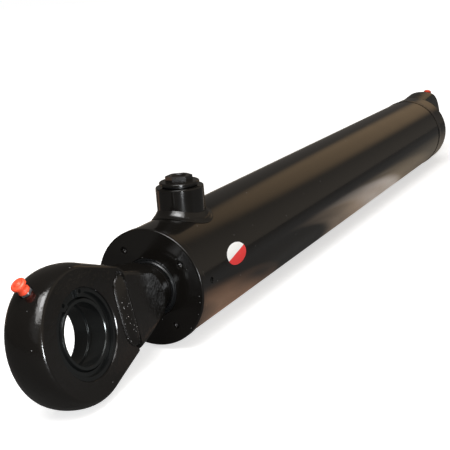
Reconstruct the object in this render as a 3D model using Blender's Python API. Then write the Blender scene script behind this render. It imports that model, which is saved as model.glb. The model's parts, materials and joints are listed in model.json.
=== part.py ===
"""Double-acting welded hydraulic cylinder with a spherical bearing in each eye, drawn fully retracted.

Units are metres. X runs along the bore from the rod eye to the base eye, Z points up through the
front port, and the rear port faces +Y. The origin lies under the middle of the cylinder's box.
"""

import math

import bmesh
import bpy
from mathutils import Matrix, Vector

# Barrel
BORE = 0.110
TUBE_WALL = 0.010
TUBE_LENGTH = 0.9712
ROD_DIA = 0.056
STROKE = 0.780
PIN_TO_PIN = 1.230
WELD_BEVEL = 0.007
CAP_LENGTH = 0.051
CAP_CHAMFER = 0.004
CAP_PILOT = 0.016
EDGE_CHAMFER = 0.0010

# Gland, screwed into the mouth of the tube
GLAND_FLANGE = 0.0095
GLAND_LENGTH = 0.066
GLAND_THREAD_DIA = 0.115
GLAND_THREAD_LENGTH = 0.0325
SPANNER_PCD = 0.099
SPANNER_HOLE_DIA = 0.0078
SPANNER_HOLE_DEPTH = 0.009
SPANNER_ANGLE = math.radians(54.4)
LOCK_SCREW_DIA = 0.006
LOCK_SCREW_X = 0.0232
LOCK_SCREW_ANGLE = math.radians(6.0)

# Seals and guide bands
WIPER_DIA = 0.066
WIPER_WIDTH = 0.007
WIPER_LIP = 0.001
ROD_SEAL_DIA = 0.071
ROD_SEAL_WIDTH = 0.0115
ROD_SEAL_X = 0.014
GUIDE_THICKNESS = 0.0025
GUIDE_WIDTH = 0.010
GLAND_GUIDE_X = 0.0300
GLAND_GUIDE_WIDTH = 0.020
O_RING_SECTION = 0.0046
O_RING_X = 0.0500

# Piston
PISTON_LENGTH = 0.060
PISTON_SLACK = 0.0011
SPIGOT_DIA = 0.040
NUT_LENGTH = 0.025
NUT_FLATS = 0.060
PISTON_SEAL_WIDTH = 0.012
PISTON_SEAL_DEPTH = 0.0068

# Ports and their plugs
PORT_BOSS_DIA = 0.055
PORT_BOSS_HEIGHT = 0.0304
FRONT_PORT_X = 0.0808
REAR_PORT_SETBACK = 0.0440
PORT_THREAD_DIA = 0.033
PORT_THREAD_DEPTH = 0.019
PORT_HOLE_DIA = 0.020
PORT_WELD_LEG = 0.0075
WASHER_DIA = 0.040
WASHER_THICKNESS = 0.0022
PLUG_COLLAR_DIA = 0.046
PLUG_COLLAR_THICKNESS = 0.0034
PLUG_FLATS = 0.027
PLUG_HEX_HEIGHT = 0.006
PLUG_SOCKET_DIA = 0.0135
PLUG_SOCKET_DEPTH = 0.0045
PLUG_SHANK = 0.014

# Eyes: a round head with a crowned rim, on a shank that narrows towards the cylinder
EYE_DIA = 0.140
EYE_FLAT_DIA = 0.124
EYE_WIDTH = 0.046
EYE_CROWN_POWER = 2.4
EYE_END_CROWN = 0.0045
ROD_EYE_REACH = 0.069
ROD_EYE_END_HEIGHT = 0.090
BASE_EYE_END_HEIGHT = 0.118
ROD_EYE_ROLL = math.radians(-11.2)

# Neck between the rod eye and the rod
NECK_DIA = 0.090
NECK_SMALL_DIA = 0.072
NECK_WIDTH = 0.057
NECK_CHAMFER = 0.006
NECK_GAP_TO_GLAND = 0.024

# Welds beside the eye plates
ROD_WELD_WIDTH = 0.016
ROD_WELD_LENGTH = 0.078
BASE_WELD_WIDTH = 0.010
BASE_WELD_LENGTH = 0.100

# Spherical bearing and its retaining rings
PIN_DIA = 0.060
BEARING_DIA = 0.088
BALL_DIA = 0.078
BEARING_OUTER_WIDTH = 0.036
BEARING_INNER_WIDTH = 0.040
BEARING_CHAMFER = 0.0015
GREASE_GROOVE_WIDTH = 0.005
GREASE_GROOVE_DEPTH = 0.0015
GREASE_HOLE_DIA = 0.004
CIRCLIP_THICKNESS = 0.003
CIRCLIP_GROOVE_DEPTH = 0.0023
CIRCLIP_DEPTH = 0.0062
CIRCLIP_LUG_DEPTH = 0.0088
CIRCLIP_LUG_SPAN = math.radians(13)
CIRCLIP_HOLE_DIA = 0.0034
CIRCLIP_GAP = math.radians(24)
CIRCLIP_GAP_ANGLE = math.radians(79)

# Grease nipples
ROD_NIPPLE_ANGLE = math.radians(56)
BASE_NIPPLE_ANGLE = math.radians(51)
NIPPLE_THREAD_DIA = 0.010
NIPPLE_THREAD_LENGTH = 0.009
NIPPLE_FLATS = 0.011
NIPPLE_HEX_HEIGHT = 0.0045
NIPPLE_STEM_DIA = 0.0062
NIPPLE_HEIGHT = 0.0118
NIPPLE_SEAT_DEPTH = 0.0032
NIPPLE_SEAT_DIA = 0.018
NIPPLE_CAP_DIA = 0.0160
NIPPLE_CAP_SKIRT_DIA = 0.0126
NIPPLE_CAP_WAIST_DIA = 0.0104
NIPPLE_CAP_HEIGHT = 0.0150

# Clearances
GAP = 0.0003
RUNNING_GAP = 0.0005
BALL_GAP = 0.0006

# Facets round a full turn: each count divides by four, so turned pieces line up facet to facet
FINE = 32
MEDIUM = 28
COARSE = 24
SMALL = 12

# Sizes that follow from the ones above
TUBE_OD = BORE + 2 * TUBE_WALL
TUBE_START = GLAND_FLANGE + GAP
TUBE_END = TUBE_START + TUBE_LENGTH
CAP_END = TUBE_END + CAP_LENGTH
ROD_PIN_X = TUBE_END + CAP_LENGTH + 0.053 - PIN_TO_PIN
BASE_PIN_X = ROD_PIN_X + PIN_TO_PIN
NECK_START = ROD_PIN_X + ROD_EYE_REACH + GAP
NECK_END = -NECK_GAP_TO_GLAND
PISTON_FRONT = GLAND_LENGTH + STROKE + 0.004
PISTON_BACK = PISTON_FRONT + PISTON_LENGTH
NUT_BACK = PISTON_BACK + GAP + NUT_LENGTH
REAR_PORT_X = TUBE_END - REAR_PORT_SETBACK


def material(name, colour, roughness, metallic=0.0):
    made = bpy.data.materials.new(name)
    made.use_nodes = True
    shader = made.node_tree.nodes["Principled BSDF"]
    shader.inputs["Base Color"].default_value = (*colour, 1.0)
    shader.inputs["Roughness"].default_value = roughness
    shader.inputs["Metallic"].default_value = metallic
    made.diffuse_color = (*colour, 1.0)
    return made


def make_frame(name, parent, location=(0, 0, 0), rotation=(0, 0, 0)):
    frame = bpy.data.objects.new(name, None)
    bpy.context.scene.collection.objects.link(frame)
    frame.location = location
    frame.rotation_euler = rotation
    frame.parent = parent
    return frame


def place(obj, finish, frame):
    """Gives the object its finish and frame, and shades its round sides smooth."""
    obj.data.materials.append(finish)
    obj.data.shade_smooth()
    obj.data.set_sharp_from_angle(angle=math.radians(40))
    obj.parent = frame
    return obj


def new_object(name, bm):
    mesh = bpy.data.meshes.new(name)
    bmesh.ops.recalc_face_normals(bm, faces=bm.faces)
    bm.to_mesh(mesh)
    bm.free()
    obj = bpy.data.objects.new(name, mesh)
    bpy.context.scene.collection.objects.link(obj)
    return obj


def spun(name, profile, segments, axis="X", closed=False):
    """Turns a profile of (along, radius) points about an axis through the object's origin."""
    along = {"X": Vector((1, 0, 0)), "Y": Vector((0, 1, 0)), "Z": Vector((0, 0, 1))}[axis]
    across = {"X": Vector((0, 0, 1)), "Y": Vector((0, 0, 1)), "Z": Vector((1, 0, 0))}[axis]
    bm = bmesh.new()
    points = [bm.verts.new(along * a + across * r) for a, r in profile]
    edges = [bm.edges.new(pair) for pair in zip(points, points[1:])]
    if closed:
        edges.append(bm.edges.new((points[-1], points[0])))
    bmesh.ops.spin(
        bm, geom=points + edges, cent=(0, 0, 0), axis=along,
        angle=math.tau, steps=segments, use_merge=True,
    )
    bmesh.ops.remove_doubles(bm, verts=bm.verts, dist=1e-6)
    return new_object(name, bm)


def solid_disc(half_turn):
    """Closes a turned profile on its axis at both ends."""
    return [(half_turn[0][0], 0.0), *half_turn, (half_turn[-1][0], 0.0)]


def prism(name, outline, low, high, axis="Y"):
    """Extrudes an outline along an axis. Its points are (x, z) for Y, (y, z) for X and (x, y) for Z."""
    def point(a, b, height):
        return {"Y": (a, height, b), "X": (height, a, b), "Z": (a, b, height)}[axis]

    bm = bmesh.new()
    base = bm.faces.new([bm.verts.new(point(a, b, low)) for a, b in outline])
    made = bmesh.ops.extrude_face_region(bm, geom=[base])
    lift = Vector(point(0, 0, high - low))
    moved = [item for item in made["geom"] if isinstance(item, bmesh.types.BMVert)]
    bmesh.ops.translate(bm, vec=lift, verts=moved)
    return new_object(name, bm)


def hexagon(flats):
    reach = flats / math.sqrt(3)
    return [(reach * math.cos(k * math.pi / 3), reach * math.sin(k * math.pi / 3)) for k in range(6)]


def rings_solid(name, rings, closed=False):
    """Skins rings of equal length into one solid. An open run of rings is capped at its ends."""
    bm = bmesh.new()
    layers = [[bm.verts.new(point) for point in ring] for ring in rings]
    pairs = list(zip(layers, layers[1:]))
    if closed:
        pairs.append((layers[-1], layers[0]))
    for lower, upper in pairs:
        for k in range(len(lower)):
            following = (k + 1) % len(lower)
            bm.faces.new((lower[k], lower[following], upper[following], upper[k]))
    if not closed:
        bm.faces.new(layers[0])
        bm.faces.new(layers[-1])
    return new_object(name, bm)


def boolean(obj, other, operation="DIFFERENCE"):
    """Cuts or joins with a helper that is left out of the part."""
    other.hide_render = True
    other.display_type = "WIRE"
    other.parent = obj.parent
    modifier = obj.modifiers.new(other.name, "BOOLEAN")
    modifier.operation = operation
    modifier.solver = "EXACT"
    modifier.object = other


def cylinder_between(name, start, end, radius, segments=SMALL):
    """A plain round helper from one point to another."""
    start, end = Vector(start), Vector(end)
    direction = end - start
    obj = spun(name, solid_disc([(0.0, radius), (direction.length, radius)]), segments, "Z")
    turn = direction.to_track_quat("Z", "Y").to_matrix().to_4x4()
    obj.data.transform(Matrix.Translation(start) @ turn)
    return obj


def ring_profile(start, end, inner, outer):
    return [(start, inner), (start, outer), (end, outer), (end, inner)]


def make_tube(finish, frame):
    thread = GLAND_THREAD_DIA / 2 + GAP
    bore, outer = BORE / 2, TUBE_OD / 2
    thread_end = GLAND_FLANGE + GLAND_THREAD_LENGTH + 0.002
    profile = [
        (TUBE_START, thread), (thread_end, thread), (thread_end + thread - bore, bore), (TUBE_END, bore),
        (TUBE_END, outer - WELD_BEVEL), (TUBE_END - WELD_BEVEL, outer),
        (TUBE_START + EDGE_CHAMFER, outer), (TUBE_START, outer - EDGE_CHAMFER),
    ]
    tube = place(spun("barrel_tube", profile, FINE, closed=True), finish, frame)
    hole = PORT_HOLE_DIA / 2
    clear = outer + 0.01
    boolean(tube, cylinder_between("front_port_drill", (FRONT_PORT_X, 0, 0.02), (FRONT_PORT_X, 0, clear), hole))
    boolean(tube, cylinder_between("rear_port_drill", (REAR_PORT_X, 0.02, 0), (REAR_PORT_X, clear, 0), hole))
    way = lock_screw_direction()
    at = Vector((LOCK_SCREW_X, 0, 0))
    drill = cylinder_between(
        "lock_screw_drill", at + way * (bore - 0.01), at + way * clear, LOCK_SCREW_DIA / 2 + GAP
    )
    boolean(tube, drill)
    return tube


def lock_screw_direction():
    return Vector((0, -math.cos(LOCK_SCREW_ANGLE), math.sin(LOCK_SCREW_ANGLE)))


def make_lock_screw(finish, frame):
    """A socket grub screw that stops the gland from turning out of the tube."""
    way = lock_screw_direction()
    foot = GLAND_THREAD_DIA / 2 + GAP
    head = TUBE_OD / 2 - EDGE_CHAMFER
    at = Vector((LOCK_SCREW_X, 0, 0))
    screw = cylinder_between("gland_lock_screw", at + way * foot, at + way * head, LOCK_SCREW_DIA / 2)
    place(screw, finish, frame)
    socket = cylinder_between(
        "lock_screw_socket", at + way * (head - LOCK_SCREW_DIA / 2), at + way * TUBE_OD,
        LOCK_SCREW_DIA / 4, 6,
    )
    boolean(screw, socket)
    return screw


def make_gland(finish, frame):
    """The head of the cylinder: a flange, a threaded body and the grooves for the rod's seals."""
    outer = TUBE_OD / 2
    body = BORE / 2 - GAP
    thread_end = GLAND_FLANGE + GLAND_THREAD_LENGTH
    bore = ROD_DIA / 2 + RUNNING_GAP
    groove = bore + GUIDE_THICKNESS
    o_ring_floor = BORE / 2 - O_RING_SECTION
    o_ring_end = O_RING_X + 1.3 * O_RING_SECTION
    profile = [
        (0, WIPER_DIA / 2), (0, outer - EDGE_CHAMFER), (EDGE_CHAMFER, outer), (GLAND_FLANGE, outer),
        (GLAND_FLANGE, GLAND_THREAD_DIA / 2), (thread_end, GLAND_THREAD_DIA / 2), (thread_end, body),
        (O_RING_X, body), (O_RING_X, o_ring_floor), (o_ring_end, o_ring_floor), (o_ring_end, body),
        (GLAND_LENGTH - EDGE_CHAMFER, body), (GLAND_LENGTH, body - EDGE_CHAMFER), (GLAND_LENGTH, bore),
    ]
    guide_end = GLAND_GUIDE_X + GLAND_GUIDE_WIDTH
    seal_end = ROD_SEAL_X + ROD_SEAL_WIDTH
    profile += [
        (guide_end, bore), (guide_end, groove), (GLAND_GUIDE_X, groove), (GLAND_GUIDE_X, bore),
        (seal_end, bore), (seal_end, ROD_SEAL_DIA / 2), (ROD_SEAL_X, ROD_SEAL_DIA / 2),
        (ROD_SEAL_X, bore), (WIPER_WIDTH, bore), (WIPER_WIDTH, WIPER_DIA / 2),
    ]
    gland = place(spun("gland", profile, FINE, closed=True), finish, frame)
    for k in range(4):
        angle = SPANNER_ANGLE + k * math.pi / 2
        y, z = SPANNER_PCD / 2 * math.cos(angle), SPANNER_PCD / 2 * math.sin(angle)
        drill = cylinder_between(
            f"spanner_drill_{k + 1}", (-0.004, y, z), (SPANNER_HOLE_DEPTH, y, z), SPANNER_HOLE_DIA / 2
        )
        boolean(gland, drill)
    return gland


def make_gland_seals(rubber, nylon, polyurethane, frame):
    touch = ROD_DIA / 2 + GAP
    outer = WIPER_DIA / 2 - GAP
    middle = (touch + outer) / 2
    end = WIPER_WIDTH - GAP
    wiper = [
        (end, outer), (GAP, outer), (GAP, middle + WIPER_LIP / 2), (1.5 * WIPER_LIP, middle),
        (GAP, middle - WIPER_LIP), (WIPER_LIP, touch), (WIPER_WIDTH / 2, touch + WIPER_LIP / 2),
        (end, touch + WIPER_LIP / 2),
    ]
    place(spun("rod_wiper", wiper, COARSE, closed=True), polyurethane, frame)
    start, end = ROD_SEAL_X + GAP, ROD_SEAL_X + ROD_SEAL_WIDTH - GAP
    outer = ROD_SEAL_DIA / 2 - GAP
    middle = (touch + outer) / 2
    seal = [
        (start, touch + WIPER_LIP), (start, outer), (end, outer), (end, middle + WIPER_LIP),
        ((start + end) / 2, middle), (end, middle - WIPER_LIP), (end, touch),
    ]
    place(spun("rod_seal", seal, COARSE, closed=True), polyurethane, frame)
    band = ring_profile(
        GLAND_GUIDE_X + GAP, GLAND_GUIDE_X + GLAND_GUIDE_WIDTH - GAP, touch,
        ROD_DIA / 2 + RUNNING_GAP + GUIDE_THICKNESS - GAP,
    )
    place(spun("gland_guide_band", band, COARSE, closed=True), nylon, frame)
    section = (O_RING_SECTION - 2 * GAP) / 2
    centre = BORE / 2 - GAP - section
    ring = [
        (O_RING_X + 0.65 * O_RING_SECTION + section * math.cos(k * math.tau / 6),
         centre + section * math.sin(k * math.tau / 6))
        for k in range(6)
    ]
    place(spun("gland_o_ring", ring, FINE, closed=True), rubber, frame)


def make_base_cap(steel, weld, frame):
    """The end cap with its pilot in the bore, and the run of weld that fills the groove to the tube."""
    outer = TUBE_OD / 2
    root = outer - WELD_BEVEL
    cap_start = TUBE_END + 2 * GAP
    profile = solid_disc([
        (TUBE_END - CAP_PILOT, BORE / 2 - GAP - EDGE_CHAMFER),
        (TUBE_END - CAP_PILOT + EDGE_CHAMFER, BORE / 2 - GAP), (cap_start, BORE / 2 - GAP),
        (cap_start, root), (cap_start + WELD_BEVEL, outer), (CAP_END - CAP_CHAMFER, outer),
        (CAP_END, outer - CAP_CHAMFER),
    ])
    place(spun("base_cap", profile, FINE), steel, frame)
    middle = TUBE_END + GAP
    crown = 0.0012
    bead = [
        (middle - WELD_BEVEL, outer + 1.6 * GAP), (middle - WELD_BEVEL / 2, outer + crown),
        (middle + WELD_BEVEL / 2, outer + crown), (middle + WELD_BEVEL, outer + 1.6 * GAP),
        (middle, root + 2 * GAP),
    ]
    place(spun("base_cap_weld", bead, FINE, closed=True), weld, frame)


def make_port(prefix, at, turn, finishes, frame):
    """A welded boss with its fillet on the tube, and the plug that closes it for transport."""
    steel, weld, zinc, rubber = finishes
    port = make_frame(f"{prefix}_port_frame", frame, (at, 0, 0), (turn, 0, 0))
    outer, top = TUBE_OD / 2, TUBE_OD / 2 + PORT_BOSS_HEIGHT
    boss_radius = PORT_BOSS_DIA / 2
    low = outer - 0.012
    thread = PORT_THREAD_DIA / 2 + GAP
    thread_end = top - PORT_THREAD_DEPTH
    profile = [
        (low, PORT_HOLE_DIA / 2), (thread_end, PORT_HOLE_DIA / 2), (thread_end, thread),
        (top, thread), (top, boss_radius - EDGE_CHAMFER), (top - EDGE_CHAMFER, boss_radius),
        (low, boss_radius),
    ]
    boss = place(spun(f"{prefix}_port_boss", profile, COARSE, "Z", closed=True), steel, port)
    saddle = spun(
        f"{prefix}_port_saddle", solid_disc([(-0.06, outer + GAP), (0.06, outer + GAP)]), FINE
    )
    boolean(boss, saddle)
    place(saddle_weld(f"{prefix}_port_weld", boss_radius + GAP, outer + 1.3 * GAP), weld, port)
    washer = ring_profile(
        top + GAP, top + WASHER_THICKNESS, PORT_THREAD_DIA / 2 + GAP, WASHER_DIA / 2
    )
    place(spun(f"{prefix}_port_washer", washer, COARSE, "Z", closed=True), rubber, port)
    seat = top + WASHER_THICKNESS + GAP
    collar = seat + PLUG_COLLAR_THICKNESS
    plug_profile = solid_disc([
        (top - PLUG_SHANK, PORT_THREAD_DIA / 2 - EDGE_CHAMFER),
        (top - PLUG_SHANK + EDGE_CHAMFER, PORT_THREAD_DIA / 2), (seat, PORT_THREAD_DIA / 2),
        (seat, PLUG_COLLAR_DIA / 2), (collar - EDGE_CHAMFER, PLUG_COLLAR_DIA / 2),
        (collar, PLUG_COLLAR_DIA / 2 - EDGE_CHAMFER),
    ])
    plug = place(spun(f"{prefix}_port_plug", plug_profile, COARSE, "Z"), zinc, port)
    head_top = collar + PLUG_HEX_HEIGHT
    head = prism(f"{prefix}_plug_head", hexagon(PLUG_FLATS), collar - 0.001, head_top, "Z")
    boolean(plug, head, "UNION")
    socket = cylinder_between(
        f"{prefix}_plug_socket", (0, 0, head_top - PLUG_SOCKET_DEPTH), (0, 0, head_top + 0.003),
        PLUG_SOCKET_DIA / 2,
    )
    boolean(plug, socket)


def saddle_weld(name, inner, tube_radius):
    """A fillet that follows the line where a round boss meets the round tube."""
    rings = []
    for k in range(COARSE):
        angle = k * math.tau / COARSE
        ring = []
        for share_out, share_up in ((0, 0), (0, 1), (0.45, 0.48), (1, 0.08), (1, 0)):
            reach = inner + share_out * PORT_WELD_LEG
            y = reach * math.sin(angle)
            z = math.sqrt(tube_radius ** 2 - y ** 2) + share_up * PORT_WELD_LEG
            ring.append((reach * math.cos(angle), y, z))
        rings.append(ring)
    return rings_solid(name, rings, closed=True)


def make_rod(chrome, frame):
    """The piston rod with the stepped spigot that carries the piston."""
    chamfer = 0.002
    profile = solid_disc([
        (NECK_END + GAP, ROD_DIA / 2), (PISTON_FRONT - chamfer, ROD_DIA / 2),
        (PISTON_FRONT - GAP, ROD_DIA / 2 - chamfer), (PISTON_FRONT - GAP, SPIGOT_DIA / 2),
        (NUT_BACK + chamfer, SPIGOT_DIA / 2), (NUT_BACK + 2 * chamfer, SPIGOT_DIA / 2 - chamfer),
    ])
    place(spun("piston_rod", profile, FINE), chrome, frame)


def piston_grooves():
    """Start, width and depth of the piston's three outer grooves."""
    side = 0.006
    middle = (PISTON_FRONT + PISTON_BACK) / 2
    return [
        (PISTON_FRONT + side, GUIDE_WIDTH, GUIDE_THICKNESS + GAP),
        (middle - PISTON_SEAL_WIDTH / 2, PISTON_SEAL_WIDTH, PISTON_SEAL_DEPTH),
        (PISTON_BACK - side - GUIDE_WIDTH, GUIDE_WIDTH, GUIDE_THICKNESS + GAP),
    ]


def make_piston(steel, frame):
    radius = BORE / 2 - PISTON_SLACK
    profile = [(PISTON_FRONT, SPIGOT_DIA / 2 + GAP), (PISTON_FRONT, radius - EDGE_CHAMFER),
               (PISTON_FRONT + EDGE_CHAMFER, radius)]
    for start, width, depth in piston_grooves():
        end = start + width + 2 * GAP
        profile += [(start, radius), (start, radius - depth), (end, radius - depth), (end, radius)]
    profile += [(PISTON_BACK - EDGE_CHAMFER, radius), (PISTON_BACK, radius - EDGE_CHAMFER),
                (PISTON_BACK, SPIGOT_DIA / 2 + GAP)]
    place(spun("piston", profile, COARSE, closed=True), steel, frame)
    nut = prism("piston_nut", hexagon(NUT_FLATS), PISTON_BACK + GAP, NUT_BACK, "X")
    place(nut, steel, frame)
    boolean(nut, cylinder_between(
        "nut_drill", (PISTON_BACK - 0.01, 0, 0), (NUT_BACK + 0.01, 0, 0), SPIGOT_DIA / 2 + GAP, COARSE
    ))


def make_piston_seals(polyurethane, nylon, frame):
    outer = BORE / 2 - RUNNING_GAP
    radius = BORE / 2 - PISTON_SLACK
    names = ("piston_guide_band_front", "piston_seal", "piston_guide_band_rear")
    for name, (start, width, depth) in zip(names, piston_grooves()):
        inner = radius - depth + RUNNING_GAP
        profile = ring_profile(start + GAP, start + width + GAP, inner, outer)
        if name == "piston_seal":
            middle = start + width / 2 + GAP
            profile[1:3] = [
                (start + GAP, outer), (middle - width / 4, outer), (middle, outer - width / 8),
                (middle + width / 4, outer), (start + width + GAP, outer),
            ]
        finish = polyurethane if name == "piston_seal" else nylon
        place(spun(name, profile, COARSE, closed=True), finish, frame)


def make_neck(steel, frame):
    """The forged neck: a cone with a flat on each side, between the eye plate and the rod."""
    profile = solid_disc([
        (NECK_START, NECK_DIA / 2), (NECK_END - NECK_CHAMFER, NECK_SMALL_DIA / 2),
        (NECK_END, ROD_DIA / 2 + 0.001),
    ])
    neck = place(spun("rod_neck", profile, FINE), steel, frame)
    half = NECK_WIDTH / 2
    flats = prism(
        "neck_flats", [(NECK_START - 0.01, -0.06), (NECK_END + 0.01, -0.06),
                       (NECK_END + 0.01, 0.06), (NECK_START - 0.01, 0.06)], -half, half, "Y"
    )
    boolean(neck, flats, "INTERSECT")
    return neck


def eye_outline(radius, reach, end_half):
    """Side outline of an eye: a round head and two tangents to the corners of its end."""
    corner = math.atan2(end_half, reach)
    touch = corner + math.acos(radius / math.hypot(reach, end_half))
    steps = 28
    arc = [touch + k * (math.tau - 2 * touch) / steps for k in range(steps + 1)]
    head = [(radius * math.cos(a), radius * math.sin(a)) for a in arc]
    return [(reach, end_half), *head, (reach, -end_half)]


def make_eye_plate(name, reach, end_height, nipple_angle, steel, frame):
    """The eye, its rim crowned from one flat side to the other, bored for the bearing."""
    layers = 6
    rings = []
    for k in range(layers + 1):
        angle = -math.pi / 2 + k * math.pi / layers
        side = math.copysign(abs(math.sin(angle)) ** (2 / EYE_CROWN_POWER), angle)
        crown = max(math.cos(angle), 0.0) ** (2 / EYE_CROWN_POWER)
        radius = (EYE_FLAT_DIA + (EYE_DIA - EYE_FLAT_DIA) * crown) / 2
        outline = eye_outline(radius, reach, end_height / 2 + EYE_END_CROWN * crown)
        rings.append([(x, EYE_WIDTH / 2 * side, z) for x, z in outline])
    eye = place(rings_solid(name, rings), steel, frame)
    bore, groove = BEARING_DIA / 2, BEARING_DIA / 2 + CIRCLIP_GROOVE_DEPTH
    face, lead, beyond = EYE_WIDTH / 2, 0.0008, 0.004
    seat = BEARING_OUTER_WIDTH / 2
    groove_end = seat + CIRCLIP_THICKNESS + GAP
    half = [
        (seat, bore), (seat, groove), (groove_end, groove), (groove_end, bore),
        (face - lead, bore), (face + beyond, bore + lead + beyond),
    ]
    cut = [(-y, r) for y, r in reversed(half)] + half
    boolean(eye, spun(f"{name}_bore", solid_disc(cut), MEDIUM, "Y"))
    nipple_seat = EYE_DIA / 2 - NIPPLE_SEAT_DEPTH
    thread_end = nipple_seat - NIPPLE_THREAD_LENGTH - 0.002
    drill = spun(f"{name}_nipple_drill", solid_disc([
        (bore - 0.003, GREASE_HOLE_DIA / 2), (thread_end, GREASE_HOLE_DIA / 2),
        (thread_end, NIPPLE_THREAD_DIA / 2 + GAP), (nipple_seat, NIPPLE_THREAD_DIA / 2 + GAP),
        (nipple_seat, NIPPLE_SEAT_DIA / 2), (EYE_DIA / 2 + 0.01, NIPPLE_SEAT_DIA / 2),
    ]), SMALL, "Z")
    drill.rotation_euler = nipple_turn(nipple_angle)
    boolean(eye, drill)
    return eye


def nipple_turn(angle):
    """Turns +Z to the nipple's direction, which is measured from -X towards +Z."""
    return (0, angle - math.pi / 2, 0)


def make_bearing(prefix, near, steel, spring, frame):
    """A spherical plain bearing in the eye, held by a retaining ring on each side."""
    housing = BEARING_DIA / 2 - GAP
    half = BEARING_OUTER_WIDTH / 2 - GAP
    ball = BALL_DIA / 2
    race = ball + BALL_GAP
    steps = 5
    across = [half - 2 * half * k / steps for k in range(steps + 1)]
    profile = [(-half, housing), (half, housing)] + [(y, math.sqrt(race ** 2 - y ** 2)) for y in across]
    place(spun(f"{prefix}_bearing_outer_ring", profile, MEDIUM, "Y", closed=True), steel, frame)

    half = BEARING_INNER_WIDTH / 2
    bore, chamfer = PIN_DIA / 2, BEARING_CHAMFER
    groove = GREASE_GROOVE_WIDTH / 2
    deep = bore + GREASE_GROOVE_DEPTH
    across = [half - 2 * half * k / steps for k in range(steps + 1)]
    profile = [
        (-half, bore + chamfer), (-half + chamfer, bore), (-groove, bore), (-groove, deep),
        (groove, deep), (groove, bore), (half - chamfer, bore), (half, bore + chamfer),
    ] + [(y, math.sqrt(ball ** 2 - y ** 2)) for y in across]
    inner = spun(f"{prefix}_bearing_inner_ring", profile, MEDIUM, "Y", closed=True)
    place(inner, steel, frame)
    for side, sign in (("near", near), ("far", -near)):
        make_circlip(f"{prefix}_circlip_{side}", sign, spring, frame)


def make_circlip(name, sign, spring, frame):
    """An open retaining ring with a drilled lug at each end, sprung into the groove of the eye."""
    outer = BEARING_DIA / 2 + CIRCLIP_GROOVE_DEPTH - RUNNING_GAP
    inner = BEARING_DIA / 2 + CIRCLIP_GROOVE_DEPTH - CIRCLIP_DEPTH
    lug = BEARING_DIA / 2 + CIRCLIP_GROOVE_DEPTH - CIRCLIP_LUG_DEPTH
    start, end = CIRCLIP_GAP / 2, math.tau - CIRCLIP_GAP / 2

    def point(radius, angle):
        turned = CIRCLIP_GAP_ANGLE + angle
        return (-radius * math.cos(turned), radius * math.sin(turned))

    steps = 22
    outline = [point(outer, start + (end - start) * k / steps) for k in range(steps + 1)]
    lugs_off = CIRCLIP_LUG_SPAN
    outline += [point(lug, end), point(lug, end - lugs_off * 0.8), point(inner, end - lugs_off)]
    run = end - start - 2 * lugs_off
    outline += [point(inner, end - lugs_off - run * k / steps) for k in range(1, steps + 1)]
    outline += [point(lug, start + lugs_off * 0.8), point(lug, start)]
    low = BEARING_OUTER_WIDTH / 2 + GAP / 2
    faces = sorted((sign * low, sign * (low + CIRCLIP_THICKNESS)))
    clip = place(prism(name, outline, *faces), spring, frame)
    for k, angle in enumerate((start + lugs_off * 0.45, end - lugs_off * 0.45), 1):
        x, z = point((lug + outer) / 2, angle)
        boolean(clip, cylinder_between(
            f"{name}_hole_{k}", (x, faces[0] - 0.002, z), (x, faces[1] + 0.002, z),
            CIRCLIP_HOLE_DIA / 2, 8,
        ))


def make_nipple(prefix, angle, zinc, plastic, frame):
    """A hexagon grease nipple and the soft cap pushed over its head."""
    turn = Matrix.Rotation(nipple_turn(angle)[1], 3, "Y")
    seat = turn @ Vector((0, 0, EYE_DIA / 2 - NIPPLE_SEAT_DEPTH + GAP))
    stem, top = NIPPLE_STEM_DIA / 2, NIPPLE_HEIGHT
    thread = NIPPLE_THREAD_DIA / 2
    body = solid_disc([
        (-NIPPLE_THREAD_LENGTH, thread), (0.0005, thread), (0.0005, stem), (top - 0.0053, stem),
        (top - 0.0043, 0.7 * stem), (top - 0.0033, 1.05 * stem), (top - 0.0013, 0.9 * stem),
        (top, 0.4 * stem),
    ])
    nipple = place(spun(f"{prefix}_grease_nipple", body, SMALL, "Z"), zinc, frame)
    head = prism(f"{prefix}_nipple_hex", hexagon(NIPPLE_FLATS), 0, NIPPLE_HEX_HEIGHT, "Z")
    head.location = seat
    head.rotation_euler = nipple_turn(angle)
    boolean(nipple, head, "UNION")

    foot = NIPPLE_HEX_HEIGHT + GAP
    crown = foot + NIPPLE_CAP_HEIGHT
    hollow = 1.15 * stem
    skirt, waist, brim = NIPPLE_CAP_SKIRT_DIA / 2, NIPPLE_CAP_WAIST_DIA / 2, NIPPLE_CAP_DIA / 2
    cap_profile = [
        (top + GAP, 0), (top + GAP, hollow), (foot, hollow), (foot, skirt), (foot + 0.0026, skirt),
        (foot + 0.0045, waist), (foot + 0.0064, waist), (foot + 0.0082, brim),
        (foot + 0.0118, brim), (foot + 0.0142, 0.7 * brim), (crown, 0),
    ]
    cap = place(spun(f"{prefix}_nipple_cap", cap_profile, SMALL, "Z"), plastic, frame)
    for piece in (nipple, cap):
        piece.location = seat
        piece.rotation_euler = nipple_turn(angle)


def side_weld(name, wall, face, width, rise, length, weld, frame):
    """A run of weld along Z in the corner between an eye plate's flat side and the step beside it.

    wall is the x of the step and face is the y of the plate's side. The ends are rounded off.
    """
    stations = 8
    out = math.copysign(1, face)
    section = ((0, 0), (0, 1), (0.30, 1.02), (0.62, 0.78), (0.88, 0.36), (1, 0))
    rings = []
    for k in range(stations + 1):
        share = math.sin((2 * k / stations - 1) * math.pi / 2)
        size = max(math.sqrt(1 - abs(share) ** 5), 0.12)
        rings.append([
            (wall - width * size * a, face + out * rise * size * b, share * length / 2)
            for a, b in section
        ])
    return place(rings_solid(name, rings), weld, frame)


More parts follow.
